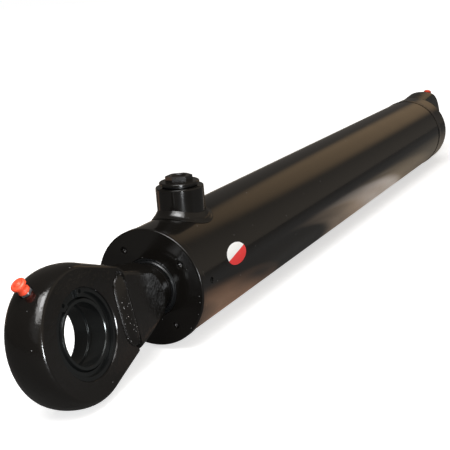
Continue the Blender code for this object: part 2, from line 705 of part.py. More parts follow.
def stand_under_box(frame):
    """Moves the whole cylinder so that the world's origin lies under the middle of its box."""
    bpy.context.view_layer.update()
    graph = bpy.context.evaluated_depsgraph_get()
    corners = []
    for obj in bpy.data.objects:
        if obj.type == "MESH" and not obj.hide_render:
            evaluated = obj.evaluated_get(graph)
            corners += [evaluated.matrix_world @ v.co for v in evaluated.data.vertices]
    low = [min(c[k] for c in corners) for k in range(3)]
    high = [max(c[k] for c in corners) for k in range(3)]
    frame.location = (-(low[0] + high[0]) / 2, -(low[1] + high[1]) / 2, -low[2])


def main():
    for obj in list(bpy.data.objects):
        bpy.data.objects.remove(obj)

    paint = material("black_paint", (0.012, 0.012, 0.013), 0.22)
    weld = material("painted_weld", (0.014, 0.014, 0.015), 0.35)
    chrome = material("hard_chrome", (0.62, 0.63, 0.65), 0.08, 1.0)
    steel = material("machined_steel", (0.30, 0.30, 0.31), 0.35, 1.0)
    bearing = material("bearing_steel", (0.10, 0.10, 0.105), 0.30, 1.0)
    spring = material("phosphated_spring_steel", (0.045, 0.045, 0.05), 0.40, 0.8)
    zinc = material("zinc_plated_steel", (0.55, 0.54, 0.50), 0.30, 1.0)
    plug = material("blackened_plug", (0.02, 0.02, 0.021), 0.28, 0.4)
    rubber = material("nitrile_rubber", (0.02, 0.02, 0.02), 0.6)
    nylon = material("filled_nylon", (0.10, 0.12, 0.10), 0.5)
    polyurethane = material("polyurethane", (0.03, 0.06, 0.10), 0.35)
    red = material("red_plastic", (0.80, 0.045, 0.02), 0.35)

    cylinder = make_frame("cylinder_frame", None)
    make_tube(paint, cylinder)
    make_gland(paint, cylinder)
    make_lock_screw(spring, cylinder)
    make_gland_seals(rubber, nylon, polyurethane, cylinder)
    make_base_cap(paint, weld, cylinder)
    make_port("front", FRONT_PORT_X, 0, (paint, weld, plug, rubber), cylinder)
    make_port("rear", REAR_PORT_X, -math.pi / 2, (paint, weld, plug, rubber), cylinder)

    base = make_frame("base_eye_frame", cylinder, (BASE_PIN_X, 0, 0), (0, 0, math.pi))
    base_reach = BASE_PIN_X - CAP_END - GAP
    make_eye_plate("base_eye", base_reach, BASE_EYE_END_HEIGHT, BASE_NIPPLE_ANGLE, paint, base)
    make_bearing("base", 1, bearing, spring, base)
    make_nipple("base", BASE_NIPPLE_ANGLE, zinc, red, base)
    for side, sign in (("near", 1), ("far", -1)):
        side_weld(f"base_eye_weld_{side}", base_reach, sign * (EYE_WIDTH / 2 + GAP),
                  BASE_WELD_WIDTH, BASE_WELD_WIDTH, BASE_WELD_LENGTH, weld, base)

    rod = make_frame("rod_frame", cylinder, rotation=(ROD_EYE_ROLL, 0, 0))
    make_rod(chrome, rod)
    make_piston(steel, rod)
    make_piston_seals(polyurethane, nylon, cylinder)
    make_neck(paint, rod)
    head = make_frame("rod_eye_frame", rod, (ROD_PIN_X, 0, 0))
    make_eye_plate("rod_eye", ROD_EYE_REACH, ROD_EYE_END_HEIGHT, ROD_NIPPLE_ANGLE, paint, head)
    make_bearing("rod", -1, bearing, spring, head)
    make_nipple("rod", ROD_NIPPLE_ANGLE, zinc, red, head)
    rise = (NECK_WIDTH - EYE_WIDTH) / 2 - 2 * GAP
    for side, sign in (("near", -1), ("far", 1)):
        side_weld(f"rod_eye_weld_{side}", ROD_EYE_REACH, sign * (EYE_WIDTH / 2 + GAP),
                  ROD_WELD_WIDTH, rise, ROD_WELD_LENGTH, weld, head)

    stand_under_box(cylinder)


main()
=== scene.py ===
"""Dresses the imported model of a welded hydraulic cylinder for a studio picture.

The file is laid out as a Blender add-on and is run as a script. Every size is in metres, in the
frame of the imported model: +X runs from the rod eye to the base eye, and +Z points up.
"""

import json
import math

import bmesh
import bpy
from bpy.props import FloatProperty, FloatVectorProperty, IntProperty, PointerProperty
from mathutils import Matrix, Vector


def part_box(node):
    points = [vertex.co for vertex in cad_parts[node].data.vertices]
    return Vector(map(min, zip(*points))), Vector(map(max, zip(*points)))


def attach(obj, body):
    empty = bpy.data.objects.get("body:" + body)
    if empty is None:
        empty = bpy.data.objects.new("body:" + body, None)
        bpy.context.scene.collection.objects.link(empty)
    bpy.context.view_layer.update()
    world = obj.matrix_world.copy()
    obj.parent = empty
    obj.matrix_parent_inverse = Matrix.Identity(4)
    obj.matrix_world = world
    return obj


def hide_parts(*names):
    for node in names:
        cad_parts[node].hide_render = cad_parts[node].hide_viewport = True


bl_info = {
    "name": "Hydraulic cylinder looks",
    "version": (1, 0, 0),
    "blender": (4, 5, 0),
    "location": "3D View > Sidebar > Cylinder",
    "description": "Builds the painted, welded and fitted surfaces of a hydraulic cylinder",
    "category": "Object",
}

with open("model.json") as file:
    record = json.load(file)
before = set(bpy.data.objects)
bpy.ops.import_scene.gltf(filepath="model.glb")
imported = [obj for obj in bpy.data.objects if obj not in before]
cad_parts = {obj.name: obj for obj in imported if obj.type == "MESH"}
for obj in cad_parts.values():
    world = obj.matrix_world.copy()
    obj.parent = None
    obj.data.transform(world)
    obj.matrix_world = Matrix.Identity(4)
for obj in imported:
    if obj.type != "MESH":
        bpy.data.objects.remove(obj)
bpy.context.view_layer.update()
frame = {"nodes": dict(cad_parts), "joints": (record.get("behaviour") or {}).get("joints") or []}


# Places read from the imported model
def size_of(node):
    """Length, width and height of a node's box."""
    low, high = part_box(node)
    return high - low


def middle_of(node):
    """Middle of a node's box."""
    low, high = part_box(node)
    return (low + high) / 2


def joint(name):
    """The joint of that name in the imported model."""
    return next(j for j in frame["joints"] if j["name"] == name)


AXIS = Vector(joint("rod_turn")["pos_m"])
PIN_AXIS = Vector(joint("rod_bearing_turn")["axis"])
ROLL = math.atan2(PIN_AXIS.z, PIN_AXIS.y)
TUBE = Matrix.Translation(AXIS)
ROD = TUBE @ Matrix.Rotation(ROLL, 4, "X")
ROD_PIN = Vector(joint("rod_bearing_turn")["pos_m"])
BASE_PIN = Vector(joint("base_bearing_turn")["pos_m"])
ROD_EYE = Matrix.Translation(ROD_PIN) @ Matrix.Rotation(ROLL, 4, "X")
BASE_EYE = Matrix.Translation(BASE_PIN) @ Matrix.Rotation(math.pi, 4, "Z")
TUBE_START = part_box("barrel_tube")[0].x - AXIS.x
TUBE_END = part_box("barrel_tube")[1].x - AXIS.x
CAP_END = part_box("base_cap")[1].x - AXIS.x
NECK_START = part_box("rod_neck")[0].x - AXIS.x
COLLAR_REACH = 0.0025
NECK_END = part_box("rod_neck")[1].x - AXIS.x + COLLAR_REACH
ROD_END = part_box("piston_rod")[1].x - AXIS.x
FRONT_PORT_X = middle_of("front_port_boss").x - AXIS.x
REAR_PORT_X = middle_of("rear_port_boss").x - AXIS.x
PORT_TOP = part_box("front_port_boss")[1].z - AXIS.z
FRONT_PORT = TUBE @ Matrix.Translation((FRONT_PORT_X, 0, 0))
REAR_PORT = TUBE @ Matrix.Translation((REAR_PORT_X, 0, 0)) @ Matrix.Rotation(-math.pi / 2, 4, "X")

# Clearance between pieces that touch, and facets round a full turn
GAP = 0.0003
FINE = 160
MEDIUM = 96
SMALL = 40


def length_property(name, description, default):
    """A size in metres."""
    return FloatProperty(
        name=name, description=description, default=default, subtype="DISTANCE", unit="LENGTH",
    )


class CylinderSizes(bpy.types.PropertyGroup):
    """Sizes of the pieces, in metres"""

    barrel_diameter: length_property(
        "Barrel diameter", "Outside diameter of the tube", size_of("barrel_tube").y)
    bore: length_property("Bore", "Inside diameter of the tube", 0.110)
    rod_diameter: length_property(
        "Rod diameter", "Diameter of the chromed rod", size_of("piston_rod").y)
    pin_diameter: length_property("Pin diameter", "Bore of each spherical bearing", 0.060)
    bearing_diameter: length_property("Bearing diameter", "Outside diameter of each bearing", 0.088)
    eye_diameter: length_property(
        "Eye diameter", "Diameter of each eye at the crown of its rim", 0.140)
    eye_flat_diameter: length_property(
        "Eye flat diameter", "Diameter of the flat side of each eye", 0.124)
    eye_width: length_property("Eye width", "Thickness of each eye plate", size_of("base_eye").y)
    port_diameter: length_property(
        "Port boss diameter", "Outside diameter of each port boss", size_of("front_port_boss").x)
    weld_pitch: length_property(
        "Weld ripple pitch", "Distance between two ripples of a weld bead", 0.0026)
    weld_seed: IntProperty(
        name="Weld seed", description="Seed of the ripples' small differences", default=7,
    )
    label_length: length_property(
        "Label length", "Length of the bare oval label along the barrel", 0.0451)
    label_height: length_property(
        "Label height", "Height of the bare oval label round the barrel", 0.0244)


def colour_property(name, description, default):
    """A colour."""
    return FloatVectorProperty(
        name=name, description=description, default=default, subtype="COLOR", size=3, min=0, max=1,
    )


class CylinderFinishes(bpy.types.PropertyGroup):
    """Colours of the finishes"""

    paint: colour_property("Paint", "Gloss paint over the whole cylinder", (0.0042, 0.0037, 0.0032))
    chrome: colour_property("Chrome", "Hard chrome on the rod", (0.62, 0.63, 0.65))
    bearing: colour_property("Bearing steel", "Darkened steel of the bearings", (0.040, 0.043, 0.043))
    zinc: colour_property("Zinc", "Plated steel of the grease nipples", (0.50, 0.52, 0.56))
    cap: colour_property("Nipple cap", "Soft plastic of the nipple caps", (0.87, 0.085, 0.035))
    label: colour_property("Label", "Paper of the round label", (0.86, 0.86, 0.85))
    label_band: colour_property("Label band", "Printed band on the label", (0.76, 0.045, 0.045))
    seal: colour_property("Seals", "Elastomer of the seals", (0.006, 0.0065, 0.007))
    guide: colour_property("Guide bands", "Filled nylon of the guide bands", (0.10, 0.12, 0.10))
    steel: colour_property("Bare steel", "Turned steel of the piston and its nut", (0.40, 0.40, 0.41))
    floor: colour_property("Floor", "Studio floor", (0.80, 0.80, 0.80))


# Outlines

def rounded(corners, closed, steps=3):
    """Rounds the corners (along, radius, rounding) of an outline and keeps its flats flat."""
    count = len(corners)
    points = []
    for k, (a, r, rounding) in enumerate(corners):
        here = Vector((a, r))
        if rounding == 0 or (not closed and k in (0, count - 1)):
            points.append(here)
            continue
        back = Vector(corners[k - 1][:2]) - here
        ahead = Vector(corners[(k + 1) % count][:2]) - here
        reach = rounding / math.tan(back.angle(ahead) / 2)
        reach = min(reach, 0.45 * back.length, 0.45 * ahead.length)
        start, end = here + back.normalized() * reach, here + ahead.normalized() * reach
        if back.length > 3 * reach:
            points.append(here + back.normalized() * reach * 1.3)
        for step in range(steps + 1):
            share = step / steps
            points.append(
                start * (1 - share) ** 2 + here * 2 * share * (1 - share) + end * share ** 2
            )
        if ahead.length > 3 * reach:
            points.append(here + ahead.normalized() * reach * 1.3)
    return [(p.x, p.y) for p in points]


def turned(corners, segments, axis="X", closed=True, steps=3):
    """Turns an outline of (along, radius, rounding) corners about an axis and returns its bmesh."""
    along = {"X": Vector((1, 0, 0)), "Y": Vector((0, 1, 0)), "Z": Vector((0, 0, 1))}[axis]
    across = Vector((1, 0, 0)) if axis == "Z" else Vector((0, 0, 1))
    profile = rounded(corners, closed, steps)
    bm = bmesh.new()
    points = [bm.verts.new(along * a + across * r) for a, r in profile]
    edges = [bm.edges.new(pair) for pair in zip(points, points[1:])]
    if closed:
        edges.append(bm.edges.new((points[-1], points[0])))
    bmesh.ops.spin(
        bm, geom=points + edges, cent=(0, 0, 0), axis=along,
        angle=math.tau, steps=segments, use_merge=True,
    )
    bmesh.ops.remove_doubles(bm, verts=bm.verts, dist=1e-6)
    return bm


def on_axis(corners):
    """Closes an outline of corners on the axis at both ends."""
    return [(corners[0][0], 0.0, 0), *corners, (corners[-1][0], 0.0, 0)]


def ring(start, end, inner, outer, rounding):
    """Outline of a plain ring with rounded edges."""
    return [
        (start, inner, rounding), (start, outer, rounding),
        (end, outer, rounding), (end, inner, rounding),
    ]


def prism(outline, low, high, axis="Z"):
    """Extrudes an outline. Its points are (x, z) for Y, (y, z) for X and (x, y) for Z."""
    def point(a, b, height):
        return {"Y": (a, height, b), "X": (height, a, b), "Z": (a, b, height)}[axis]

    bm = bmesh.new()
    base = bm.faces.new([bm.verts.new(point(a, b, low)) for a, b in outline])
    made = bmesh.ops.extrude_face_region(bm, geom=[base])
    moved = [item for item in made["geom"] if isinstance(item, bmesh.types.BMVert)]
    bmesh.ops.translate(bm, vec=Vector(point(0, 0, high - low)), verts=moved)
    return bm


def hexagon(flats):
    """Outline of a hexagon of that width across its flats."""
    reach = flats / math.sqrt(3)
    return [(reach * math.cos(k * math.pi / 3), reach * math.sin(k * math.pi / 3)) for k in range(6)]


def lofted(rings, closed=False):
    """Skins rings of equal length. An open run of rings is capped at its ends."""
    bm = bmesh.new()
    layers = [[bm.verts.new(point) for point in ring_points] for ring_points in rings]
    pairs = list(zip(layers, layers[1:]))
    if closed:
        pairs.append((layers[-1], layers[0]))
    for lower, upper in pairs:
        for k in range(len(lower)):
            following = (k + 1) % len(lower)
            bm.faces.new((lower[k], lower[following], upper[following], upper[k]))
    if not closed:
        bm.faces.new(layers[0])
        bm.faces.new(layers[-1])
    return bm


# Objects

def linked(name, data):
    """An object of the scene from a mesh, lamp or camera."""
    obj = bpy.data.objects.new(name, data)
    bpy.context.scene.collection.objects.link(obj)
    return obj


def add_object(name, bm, place=None):
    """Makes an object at the origin from a bmesh that is built in a piece's own frame."""
    bmesh.ops.recalc_face_normals(bm, faces=bm.faces)
    mesh = bpy.data.meshes.new(name)
    bm.to_mesh(mesh)
    bm.free()
    if place is not None:
        mesh.transform(place)
    return linked(name, mesh)


def smooth(obj, angle=35):
    """Shades an object smooth and keeps the edges sharper than the angle sharp."""
    obj.data.shade_smooth()
    obj.data.set_sharp_from_angle(angle=math.radians(angle))
    return obj


def bake(obj):
    """Turns the object's modifiers into a plain mesh."""
    graph = bpy.context.evaluated_depsgraph_get()
    mesh = bpy.data.meshes.new_from_object(obj.evaluated_get(graph))
    obj.modifiers.clear()
    obj.data = mesh
    mesh.name = obj.name
    return obj


def cut(obj, cutters, operation="DIFFERENCE"):
    """Cuts or joins the object with helpers, which are then deleted."""
    for cutter in cutters:
        modifier = obj.modifiers.new(cutter.name, "BOOLEAN")
        modifier.operation = operation
        modifier.solver = "EXACT"
        modifier.object = cutter
    bake(obj)
    for cutter in cutters:
        bpy.data.objects.remove(cutter)
    return obj


def softened(obj, width, segments=2, angle=35):
    """Rounds the sharp edges of a piece and keeps its flats flat."""
    smooth(obj, angle)
    bevel = obj.modifiers.new("edge", "BEVEL")
    bevel.width = width
    bevel.segments = segments
    bevel.limit_method = "ANGLE"
    bevel.angle_limit = math.radians(angle)
    bevel.harden_normals = True
    return bake(obj)


def flat_kept(obj, angle=35):
    """Lets the large flats set the shading at their rims."""
    smooth(obj, angle)
    weighted = obj.modifiers.new("flats", "WEIGHTED_NORMAL")
    weighted.keep_sharp = True
    weighted.weight = 100
    return bake(obj)


def dress(obj, body, slot, material, *nodes):
    """Gives a finished piece its material and body, and hides the nodes it stands for. Its slot argument
    is not used.
    """
    obj.data.materials.clear()
    obj.data.materials.append(material)
    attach(obj, body)
    if nodes:
        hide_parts(*nodes)
    return obj


def rod_of(start, end, radius, segments=SMALL):
    """A plain round cutter between two points."""
    start, end = Vector(start), Vector(end)
    direction = end - start
    bm = turned(on_axis([(0, radius, 0), (direction.length, radius, 0)]), segments, "Z", closed=False)
    place = Matrix.Translation(start) @ direction.to_track_quat("Z", "Y").to_matrix().to_4x4()
    return add_object("cutter", bm, place)


# Nodes

def put(tree, kind, inputs=(), **settings):
    """Adds a node with its settings, and fills its inputs with values or with other nodes' outputs."""
    node = tree.nodes.new(kind)
    for key, value in settings.items():
        setattr(node, key, value)
    for key, value in dict(inputs).items():
        if isinstance(value, bpy.types.NodeSocket):
            tree.links.new(value, node.inputs[key])
        else:
            node.inputs[key].default_value = value
    return node


def noise(tree, at, scale, detail=2.0, roughness=0.5):
    """Soft noise from 0 to 1 over the given coordinates."""
    inputs = {"Vector": at, "Scale": scale, "Detail": detail, "Roughness": roughness}
    return put(tree, "ShaderNodeTexNoise", inputs).outputs["Fac"]


def stretched(tree, value, low, high, to_low, to_high, **settings):
    """Moves a value from one range to another."""
    inputs = {
        "Value": value, "From Min": low, "From Max": high, "To Min": to_low, "To Max": to_high,
    }
    return put(tree, "ShaderNodeMapRange", inputs, **settings).outputs["Result"]


def maths(tree, operation, *values, clamp=False):
    """The result of one sum on values or outputs."""
    node = put(
        tree, "ShaderNodeMath", dict(enumerate(values)), operation=operation, use_clamp=clamp)
    return node.outputs[0]


def bump(tree, height, distance, strength=1.0, under=None):
    """Raises the surface by a height, over another bump if one is given."""
    inputs = {"Height": height, "Distance": distance, "Strength": strength}
    if under is not None:
        inputs["Normal"] = under
    return put(tree, "ShaderNodeBump", inputs).outputs["Normal"]


def mixed(tree, share, first, second, **settings):
    """Mixes two colours by a value."""
    inputs = {"Factor": share}
    for key, colour in (("A", first), ("B", second)):
        plain = not isinstance(colour, bpy.types.NodeSocket)
        inputs[key] = (*colour, 1.0) if plain else colour
    return put(tree, "ShaderNodeMix", inputs, data_type="RGBA", **settings).outputs["Result"]


def shaded(colour, factor):
    """A colour made darker or lighter."""
    return tuple(min(factor * c, 1.0) for c in colour)


def specks(tree, at, scale, share, size):
    """A few small round specks: one where a cell's random value is high, near the cell's middle."""
    cells = put(tree, "ShaderNodeTexVoronoi", {"Vector": at, "Scale": scale})
    near = stretched(tree, cells.outputs["Distance"], size, 0.6 * size, 0, 1)
    chance = put(tree, "ShaderNodeSeparateColor", {"Color": cells.outputs["Color"]}).outputs["Red"]
    chosen = stretched(tree, chance, 1 - share, 1 - share + 0.001, 0, 1)
    return maths(tree, "MULTIPLY", near, chosen)


# Materials

def start_material(name, roughness, metallic=0.0):
    """A new material, its tree, its shader and the object's own coordinates."""
    made = bpy.data.materials.new(name)
    made.use_nodes = True
    tree = made.node_tree
    shader = tree.nodes["Principled BSDF"]
    shader.inputs["Roughness"].default_value = roughness
    shader.inputs["Metallic"].default_value = metallic
    coordinates = tree.nodes.new("ShaderNodeTexCoord").outputs["Object"]
    return made, tree, shader, coordinates


def paint_material(name, colour, roughness, forging, dust_and_glint_share, speck_scale=230, pale=0.16):
    """Gloss paint: fine orange peel, smudges in the gloss, a few pale specks, and forging marks. The
    specks are grains of dust; on the side welds, many and bright, they are painted glints.
    """
    made, tree, shader, at = start_material(name, roughness)
    link = tree.links.new
    shader.inputs["Specular IOR Level"].default_value = 0.5
    smudge = noise(tree, at, 14, 4, 0.6)
    # Pale specks: grains of dust; where they are many and bright, as on the side welds, they are painted
    # glints
    grain = specks(tree, at, speck_scale, dust_and_glint_share, 0.16)
    tone = mixed(tree, smudge, shaded(colour, 0.8), shaded(colour, 1.35))
    link(mixed(tree, grain, tone, (pale, pale, pale)), shader.inputs["Base Color"])
    gloss = stretched(tree, smudge, 0.3, 0.7, roughness - 0.03, roughness + 0.05)
    link(gloss, shader.inputs["Roughness"])
    normal = bump(tree, noise(tree, at, 620, 2), 0.00003, 0.5)
    normal = bump(tree, grain, 0.00008, 0.5, normal)
    if forging:
        normal = bump(tree, noise(tree, at, 75, 3, 0.55), forging, 0.6, normal)
        normal = bump(tree, noise(tree, at, 330, 2), forging * 0.25, 0.6, normal)
    link(normal, shader.inputs["Normal"])
    return made


def patchy(tree, shader, patch, colour, dark, light, roughness, glossy, matt):
    """Lets a patch of noise shade the colour and the gloss of a material."""
    tone = mixed(tree, patch, shaded(colour, dark), shaded(colour, light))
    tree.links.new(tone, shader.inputs["Base Color"])
    gloss = stretched(tree, patch, 0.3, 0.7, roughness * glossy, roughness * matt)
    tree.links.new(gloss, shader.inputs["Roughness"])


def metal_material(name, colour, roughness, metallic=1.0, grain=900, depth=0.00001, lines=None):
    """Machined metal: tool lines along one axis or an even grain, and patchy gloss."""
    made, tree, shader, at = start_material(name, roughness, metallic)
    patchy(tree, shader, noise(tree, at, 40, 3), colour, 0.75, 1.2, roughness, 0.8, 1.25)
    if lines is not None:
        at = put(tree, "ShaderNodeMapping", {"Vector": at, "Scale": lines}).outputs["Vector"]
    tree.links.new(bump(tree, noise(tree, at, grain, 2), depth, 0.6), shader.inputs["Normal"])
    return made


def plastic_material(name, colour, roughness):
    """Moulded plastic or rubber with a fine grain."""
    made, tree, shader, at = start_material(name, roughness)
    patchy(tree, shader, noise(tree, at, 90, 3), colour, 0.88, 1.1, roughness, 0.85, 1.2)
    tree.links.new(bump(tree, noise(tree, at, 500, 2), 0.00002, 0.5), shader.inputs["Normal"])
    return made


def label_material(name, paper, band):
    """A two-tone film label: the printed part lies below a slanting line across its own UV map."""
    made, tree, shader, at = start_material(name, 0.33)
    uv = put(tree, "ShaderNodeUVMap", uv_map="UVMap").outputs["UV"]
    split = put(tree, "ShaderNodeSeparateXYZ", {"Vector": uv})
    slant = maths(tree, "MULTIPLY_ADD", split.outputs["X"], -0.35, split.outputs["Y"])
    tone = mixed(tree, stretched(tree, slant, 0.345, 0.352, 1, 0), paper, band)
    scuff = stretched(tree, noise(tree, at, 260, 4, 0.7), 0.62, 0.75, 0, 0.35)
    tree.links.new(mixed(tree, scuff, tone, (0.50, 0.47, 0.45)), shader.inputs["Base Color"])
    tree.links.new(bump(tree, noise(tree, at, 160, 2), 0.00008, 0.5), shader.inputs["Normal"])
    return made


# Materials that are made already
MADE = {}


def finish(name):
    """The material of that name, made once from the colours of the scene's settings."""
    if name in MADE:
        return MADE[name]
    tones = bpy.context.scene.cylinder_finishes
    paint, bearing = tuple(tones.paint), tuple(tones.bearing)
    along, round_pin = (30, 1, 1), (1, 30, 1)
    recipes = {
        "black gloss paint": (paint_material, paint, 0.12, 0.0, 0.012),
        "black paint on forging": (paint_material, paint, 0.15, 0.0008, 0.02),
        "black paint on weld": (paint_material, paint, 0.14, 0.00025, 0.06),
        # Many bright specks: painted glints along the side welds, over their dust
        "black paint on side weld": (paint_material, paint, 0.20, 0.00025, 0.35, 420, 0.55),
        "black paint on gland": (paint_material, paint, 0.14, 0.0, 0.03),
        "black plug": (paint_material, shaded(paint, 1.3), 0.15, 0.0, 0.02),
        "hard chrome": (metal_material, tones.chrome, 0.09, 1.0, 60, 0.000004, along),
        "bearing steel": (metal_material, bearing, 0.20, 0.85, 60, 0.00001, round_pin),
        "spring steel": (metal_material, shaded(bearing, 0.4), 0.2, 0.6),
        "zinc plate": (metal_material, tones.zinc, 0.30, 0.9),
        "turned steel": (metal_material, tones.steel, 0.35, 1.0, 60, 0.00002, along),
        "red cap plastic": (plastic_material, tones.cap, 0.38),
        "seal elastomer": (plastic_material, tones.seal, 0.30),
        "guide nylon": (plastic_material, tones.guide, 0.55),
        "film label": (label_material, tones.label, tones.label_band),
    }
    maker, *values = recipes[name]
    MADE[name] = maker(name, *values)
    return MADE[name]


# Geometry Nodes

def socket_identifier(tree, name):
    """The identifier of a tree's named input."""
    return next(
        item.identifier for item in tree.interface.items_tree
        if item.item_type == "SOCKET" and item.in_out == "INPUT" and item.name == name
    )


def new_tree(name, inputs):
    """An empty geometry tree with named inputs, ready between its group nodes."""
    tree = bpy.data.node_groups.new(name, "GeometryNodeTree")
    tree.is_modifier = True
    tree.interface.new_socket("Geometry", in_out="INPUT", socket_type="NodeSocketGeometry")
    for label, kind in inputs:
        tree.interface.new_socket(label, in_out="INPUT", socket_type=f"NodeSocket{kind}")
    tree.interface.new_socket("Geometry", in_out="OUTPUT", socket_type="NodeSocketGeometry")
    return tree, tree.nodes.new("NodeGroupInput"), tree.nodes.new("NodeGroupOutput")


def run_tree(obj, tree, values):
    """Runs a geometry tree on an object with the given inputs and keeps the result as a plain mesh."""
    modifier = obj.modifiers.new(tree.name, "NODES")
    modifier.node_group = tree
    for label, value in values.items():
        modifier[socket_identifier(tree, label)] = value
    return bake(obj)


def end_tree(tree, given, result, geometry, smooth_faces):
    """Ends a tree with real geometry in the given material."""
    made = put(tree, "GeometryNodeRealizeInstances", {"Geometry": geometry}).outputs["Geometry"]
    if smooth_faces:
        made = put(tree, "GeometryNodeSetShadeSmooth", {"Geometry": made}).outputs["Geometry"]
    inputs = {"Geometry": made, "Material": given.outputs["Material"]}
    coat = put(tree, "GeometryNodeSetMaterial", inputs)
    tree.links.new(coat.outputs["Geometry"], result.inputs["Geometry"])
    return tree


def ripple_tree():
    """Lays overlapping lobes along a path. The path's points carry the way out of the bead."""
    tree, given, result = new_tree("weld ripples", [
        ("Pitch", "Float"), ("Lobe length", "Float"), ("Lobe width", "Float"), ("Lobe height", "Float"),
        ("Unevenness", "Float"), ("Seed", "Int"), ("Material", "Material"),
    ])
    take = given.outputs
    path = put(tree, "GeometryNodeMeshToCurve", {"Mesh": take["Geometry"]})
    even = put(tree, "GeometryNodeResampleCurve", {
        "Curve": path.outputs["Curve"], "Length": take["Pitch"],
    }, mode="LENGTH")
    lobe = put(tree, "GeometryNodeMeshUVSphere", {"Segments": 14, "Rings": 8, "Radius": 1.0})
    tangent = put(tree, "GeometryNodeInputTangent")
    along = put(tree, "FunctionNodeAlignRotationToVector", {
        "Vector": tangent.outputs["Tangent"],
    }, axis="X")
    outward = put(tree, "GeometryNodeInputNamedAttribute", {"Name": "outward"}, data_type="FLOAT_VECTOR")
    up = put(tree, "FunctionNodeAlignRotationToVector", {
        "Rotation": along.outputs["Rotation"], "Vector": outward.outputs["Attribute"],
    }, axis="Z", pivot_axis="X")
    chance = put(tree, "FunctionNodeRandomValue", {"Seed": take["Seed"]}, data_type="FLOAT_VECTOR")
    centred = put(tree, "ShaderNodeVectorMath", {
        0: chance.outputs["Value"], 1: (0.5, 0.5, 0.5),
    }, operation="SUBTRACT")
    spread = put(tree, "ShaderNodeVectorMath", {
        0: centred.outputs["Vector"], 1: take["Unevenness"], 2: (1, 1, 1),
    }, operation="MULTIPLY_ADD")
    size = put(tree, "ShaderNodeCombineXYZ", {
        "X": take["Lobe length"], "Y": take["Lobe width"], "Z": take["Lobe height"],
    })
    scale = put(tree, "ShaderNodeVectorMath", {
        0: size.outputs["Vector"], 1: spread.outputs["Vector"],
    }, operation="MULTIPLY")
    place = put(tree, "GeometryNodeInstanceOnPoints", {
        "Points": even.outputs["Curve"], "Instance": lobe.outputs["Mesh"],
        "Rotation": up.outputs["Rotation"], "Scale": scale.outputs["Vector"],
    })
    return end_tree(tree, given, result, place.outputs["Instances"], smooth_faces=True)


# Geometry trees that are built already
TREES = {}


def tree_named(name, build):
    """The tree of that name, built once."""
    if name not in TREES:
        TREES[name] = build()
    return TREES[name]


def ripples(name, path, outward, closed, width, height, place, spread=1.0, length=0.95):
    """A row of weld ripples on a path of points, each with its way out of the bead."""
    sizes = bpy.context.scene.cylinder_sizes
    count = len(path)
    mesh = bpy.data.meshes.new(name)
    edges = [(k, (k + 1) % count) for k in range(count if closed else count - 1)]
    mesh.from_pydata([Vector(point) for point in path], edges, [])
    ways = mesh.attributes.new("outward", "FLOAT_VECTOR", "POINT")
    turn = place.to_3x3()
    ways.data.foreach_set("vector", [c for way in outward for c in turn @ Vector(way)])
    mesh.transform(place)
    return run_tree(linked(name, mesh), tree_named("ripples", ripple_tree), {
        "Pitch": spread * sizes.weld_pitch, "Lobe length": length * sizes.weld_pitch,
        "Lobe width": width, "Lobe height": height, "Unevenness": 0.30, "Seed": sizes.weld_seed,
        "Material": finish("black paint on weld"),
    })


def joined(name, objects):
    """One object from several plain meshes."""
    bm = bmesh.new()
    for obj in objects:
        bm.from_mesh(obj.data)
        bpy.data.objects.remove(obj)
    mesh = bpy.data.meshes.new(name)
    bm.to_mesh(mesh)
    bm.free()
    return smooth(linked(name, mesh), 50)


# Pieces

class PieceOperator:
    """What the operators that build pieces share."""

    bl_options = {"REGISTER", "UNDO"}

    def execute(self, context):
        self.build(context.scene.cylinder_sizes)
        return {"FINISHED"}


# Leg of the bevel at the weld between the tube and its end cap
WELD_BEVEL = 0.007


def barrel_outline(sizes):
    """The tube's section, with the gland's thread at its mouth and the weld bevel at its end."""
    outer, bore = sizes.barrel_diameter / 2, sizes.bore / 2
    thread = bore + 0.0028
    thread_end = TUBE_START + 0.0347
    bevel = WELD_BEVEL
    return rounded([
        (TUBE_START, thread, 0.0004), (thread_end, thread, 0), (thread_end + thread - bore, bore, 0),
        (TUBE_END, bore, 0), (TUBE_END, outer - bevel, 0), (TUBE_END - bevel, outer, 0),
        (TUBE_START, outer, 0.0009),
    ], closed=True)


def turning_tree():
    """Turns an outline round the X axis. The outline is drawn as (radius, -along) in the XY plane."""
    tree, given, result = new_tree("turned section", [
        ("Facets", "Int"), ("Path radius", "Float"), ("Material", "Material"),
    ])
    take = given.outputs
    section = put(tree, "GeometryNodeMeshToCurve", {"Mesh": take["Geometry"]})
    path = put(tree, "GeometryNodeCurvePrimitiveCircle", {
        "Resolution": take["Facets"], "Radius": take["Path radius"],
    })
    sweep = put(tree, "GeometryNodeCurveToMesh", {
        "Curve": path.outputs["Curve"], "Profile Curve": section.outputs["Curve"],
    })
    lay = put(tree, "GeometryNodeTransform", {
        "Geometry": sweep.outputs["Mesh"], "Rotation": (0, math.pi / 2, 0),
    })
    return end_tree(tree, given, result, lay.outputs["Geometry"], smooth_faces=False)


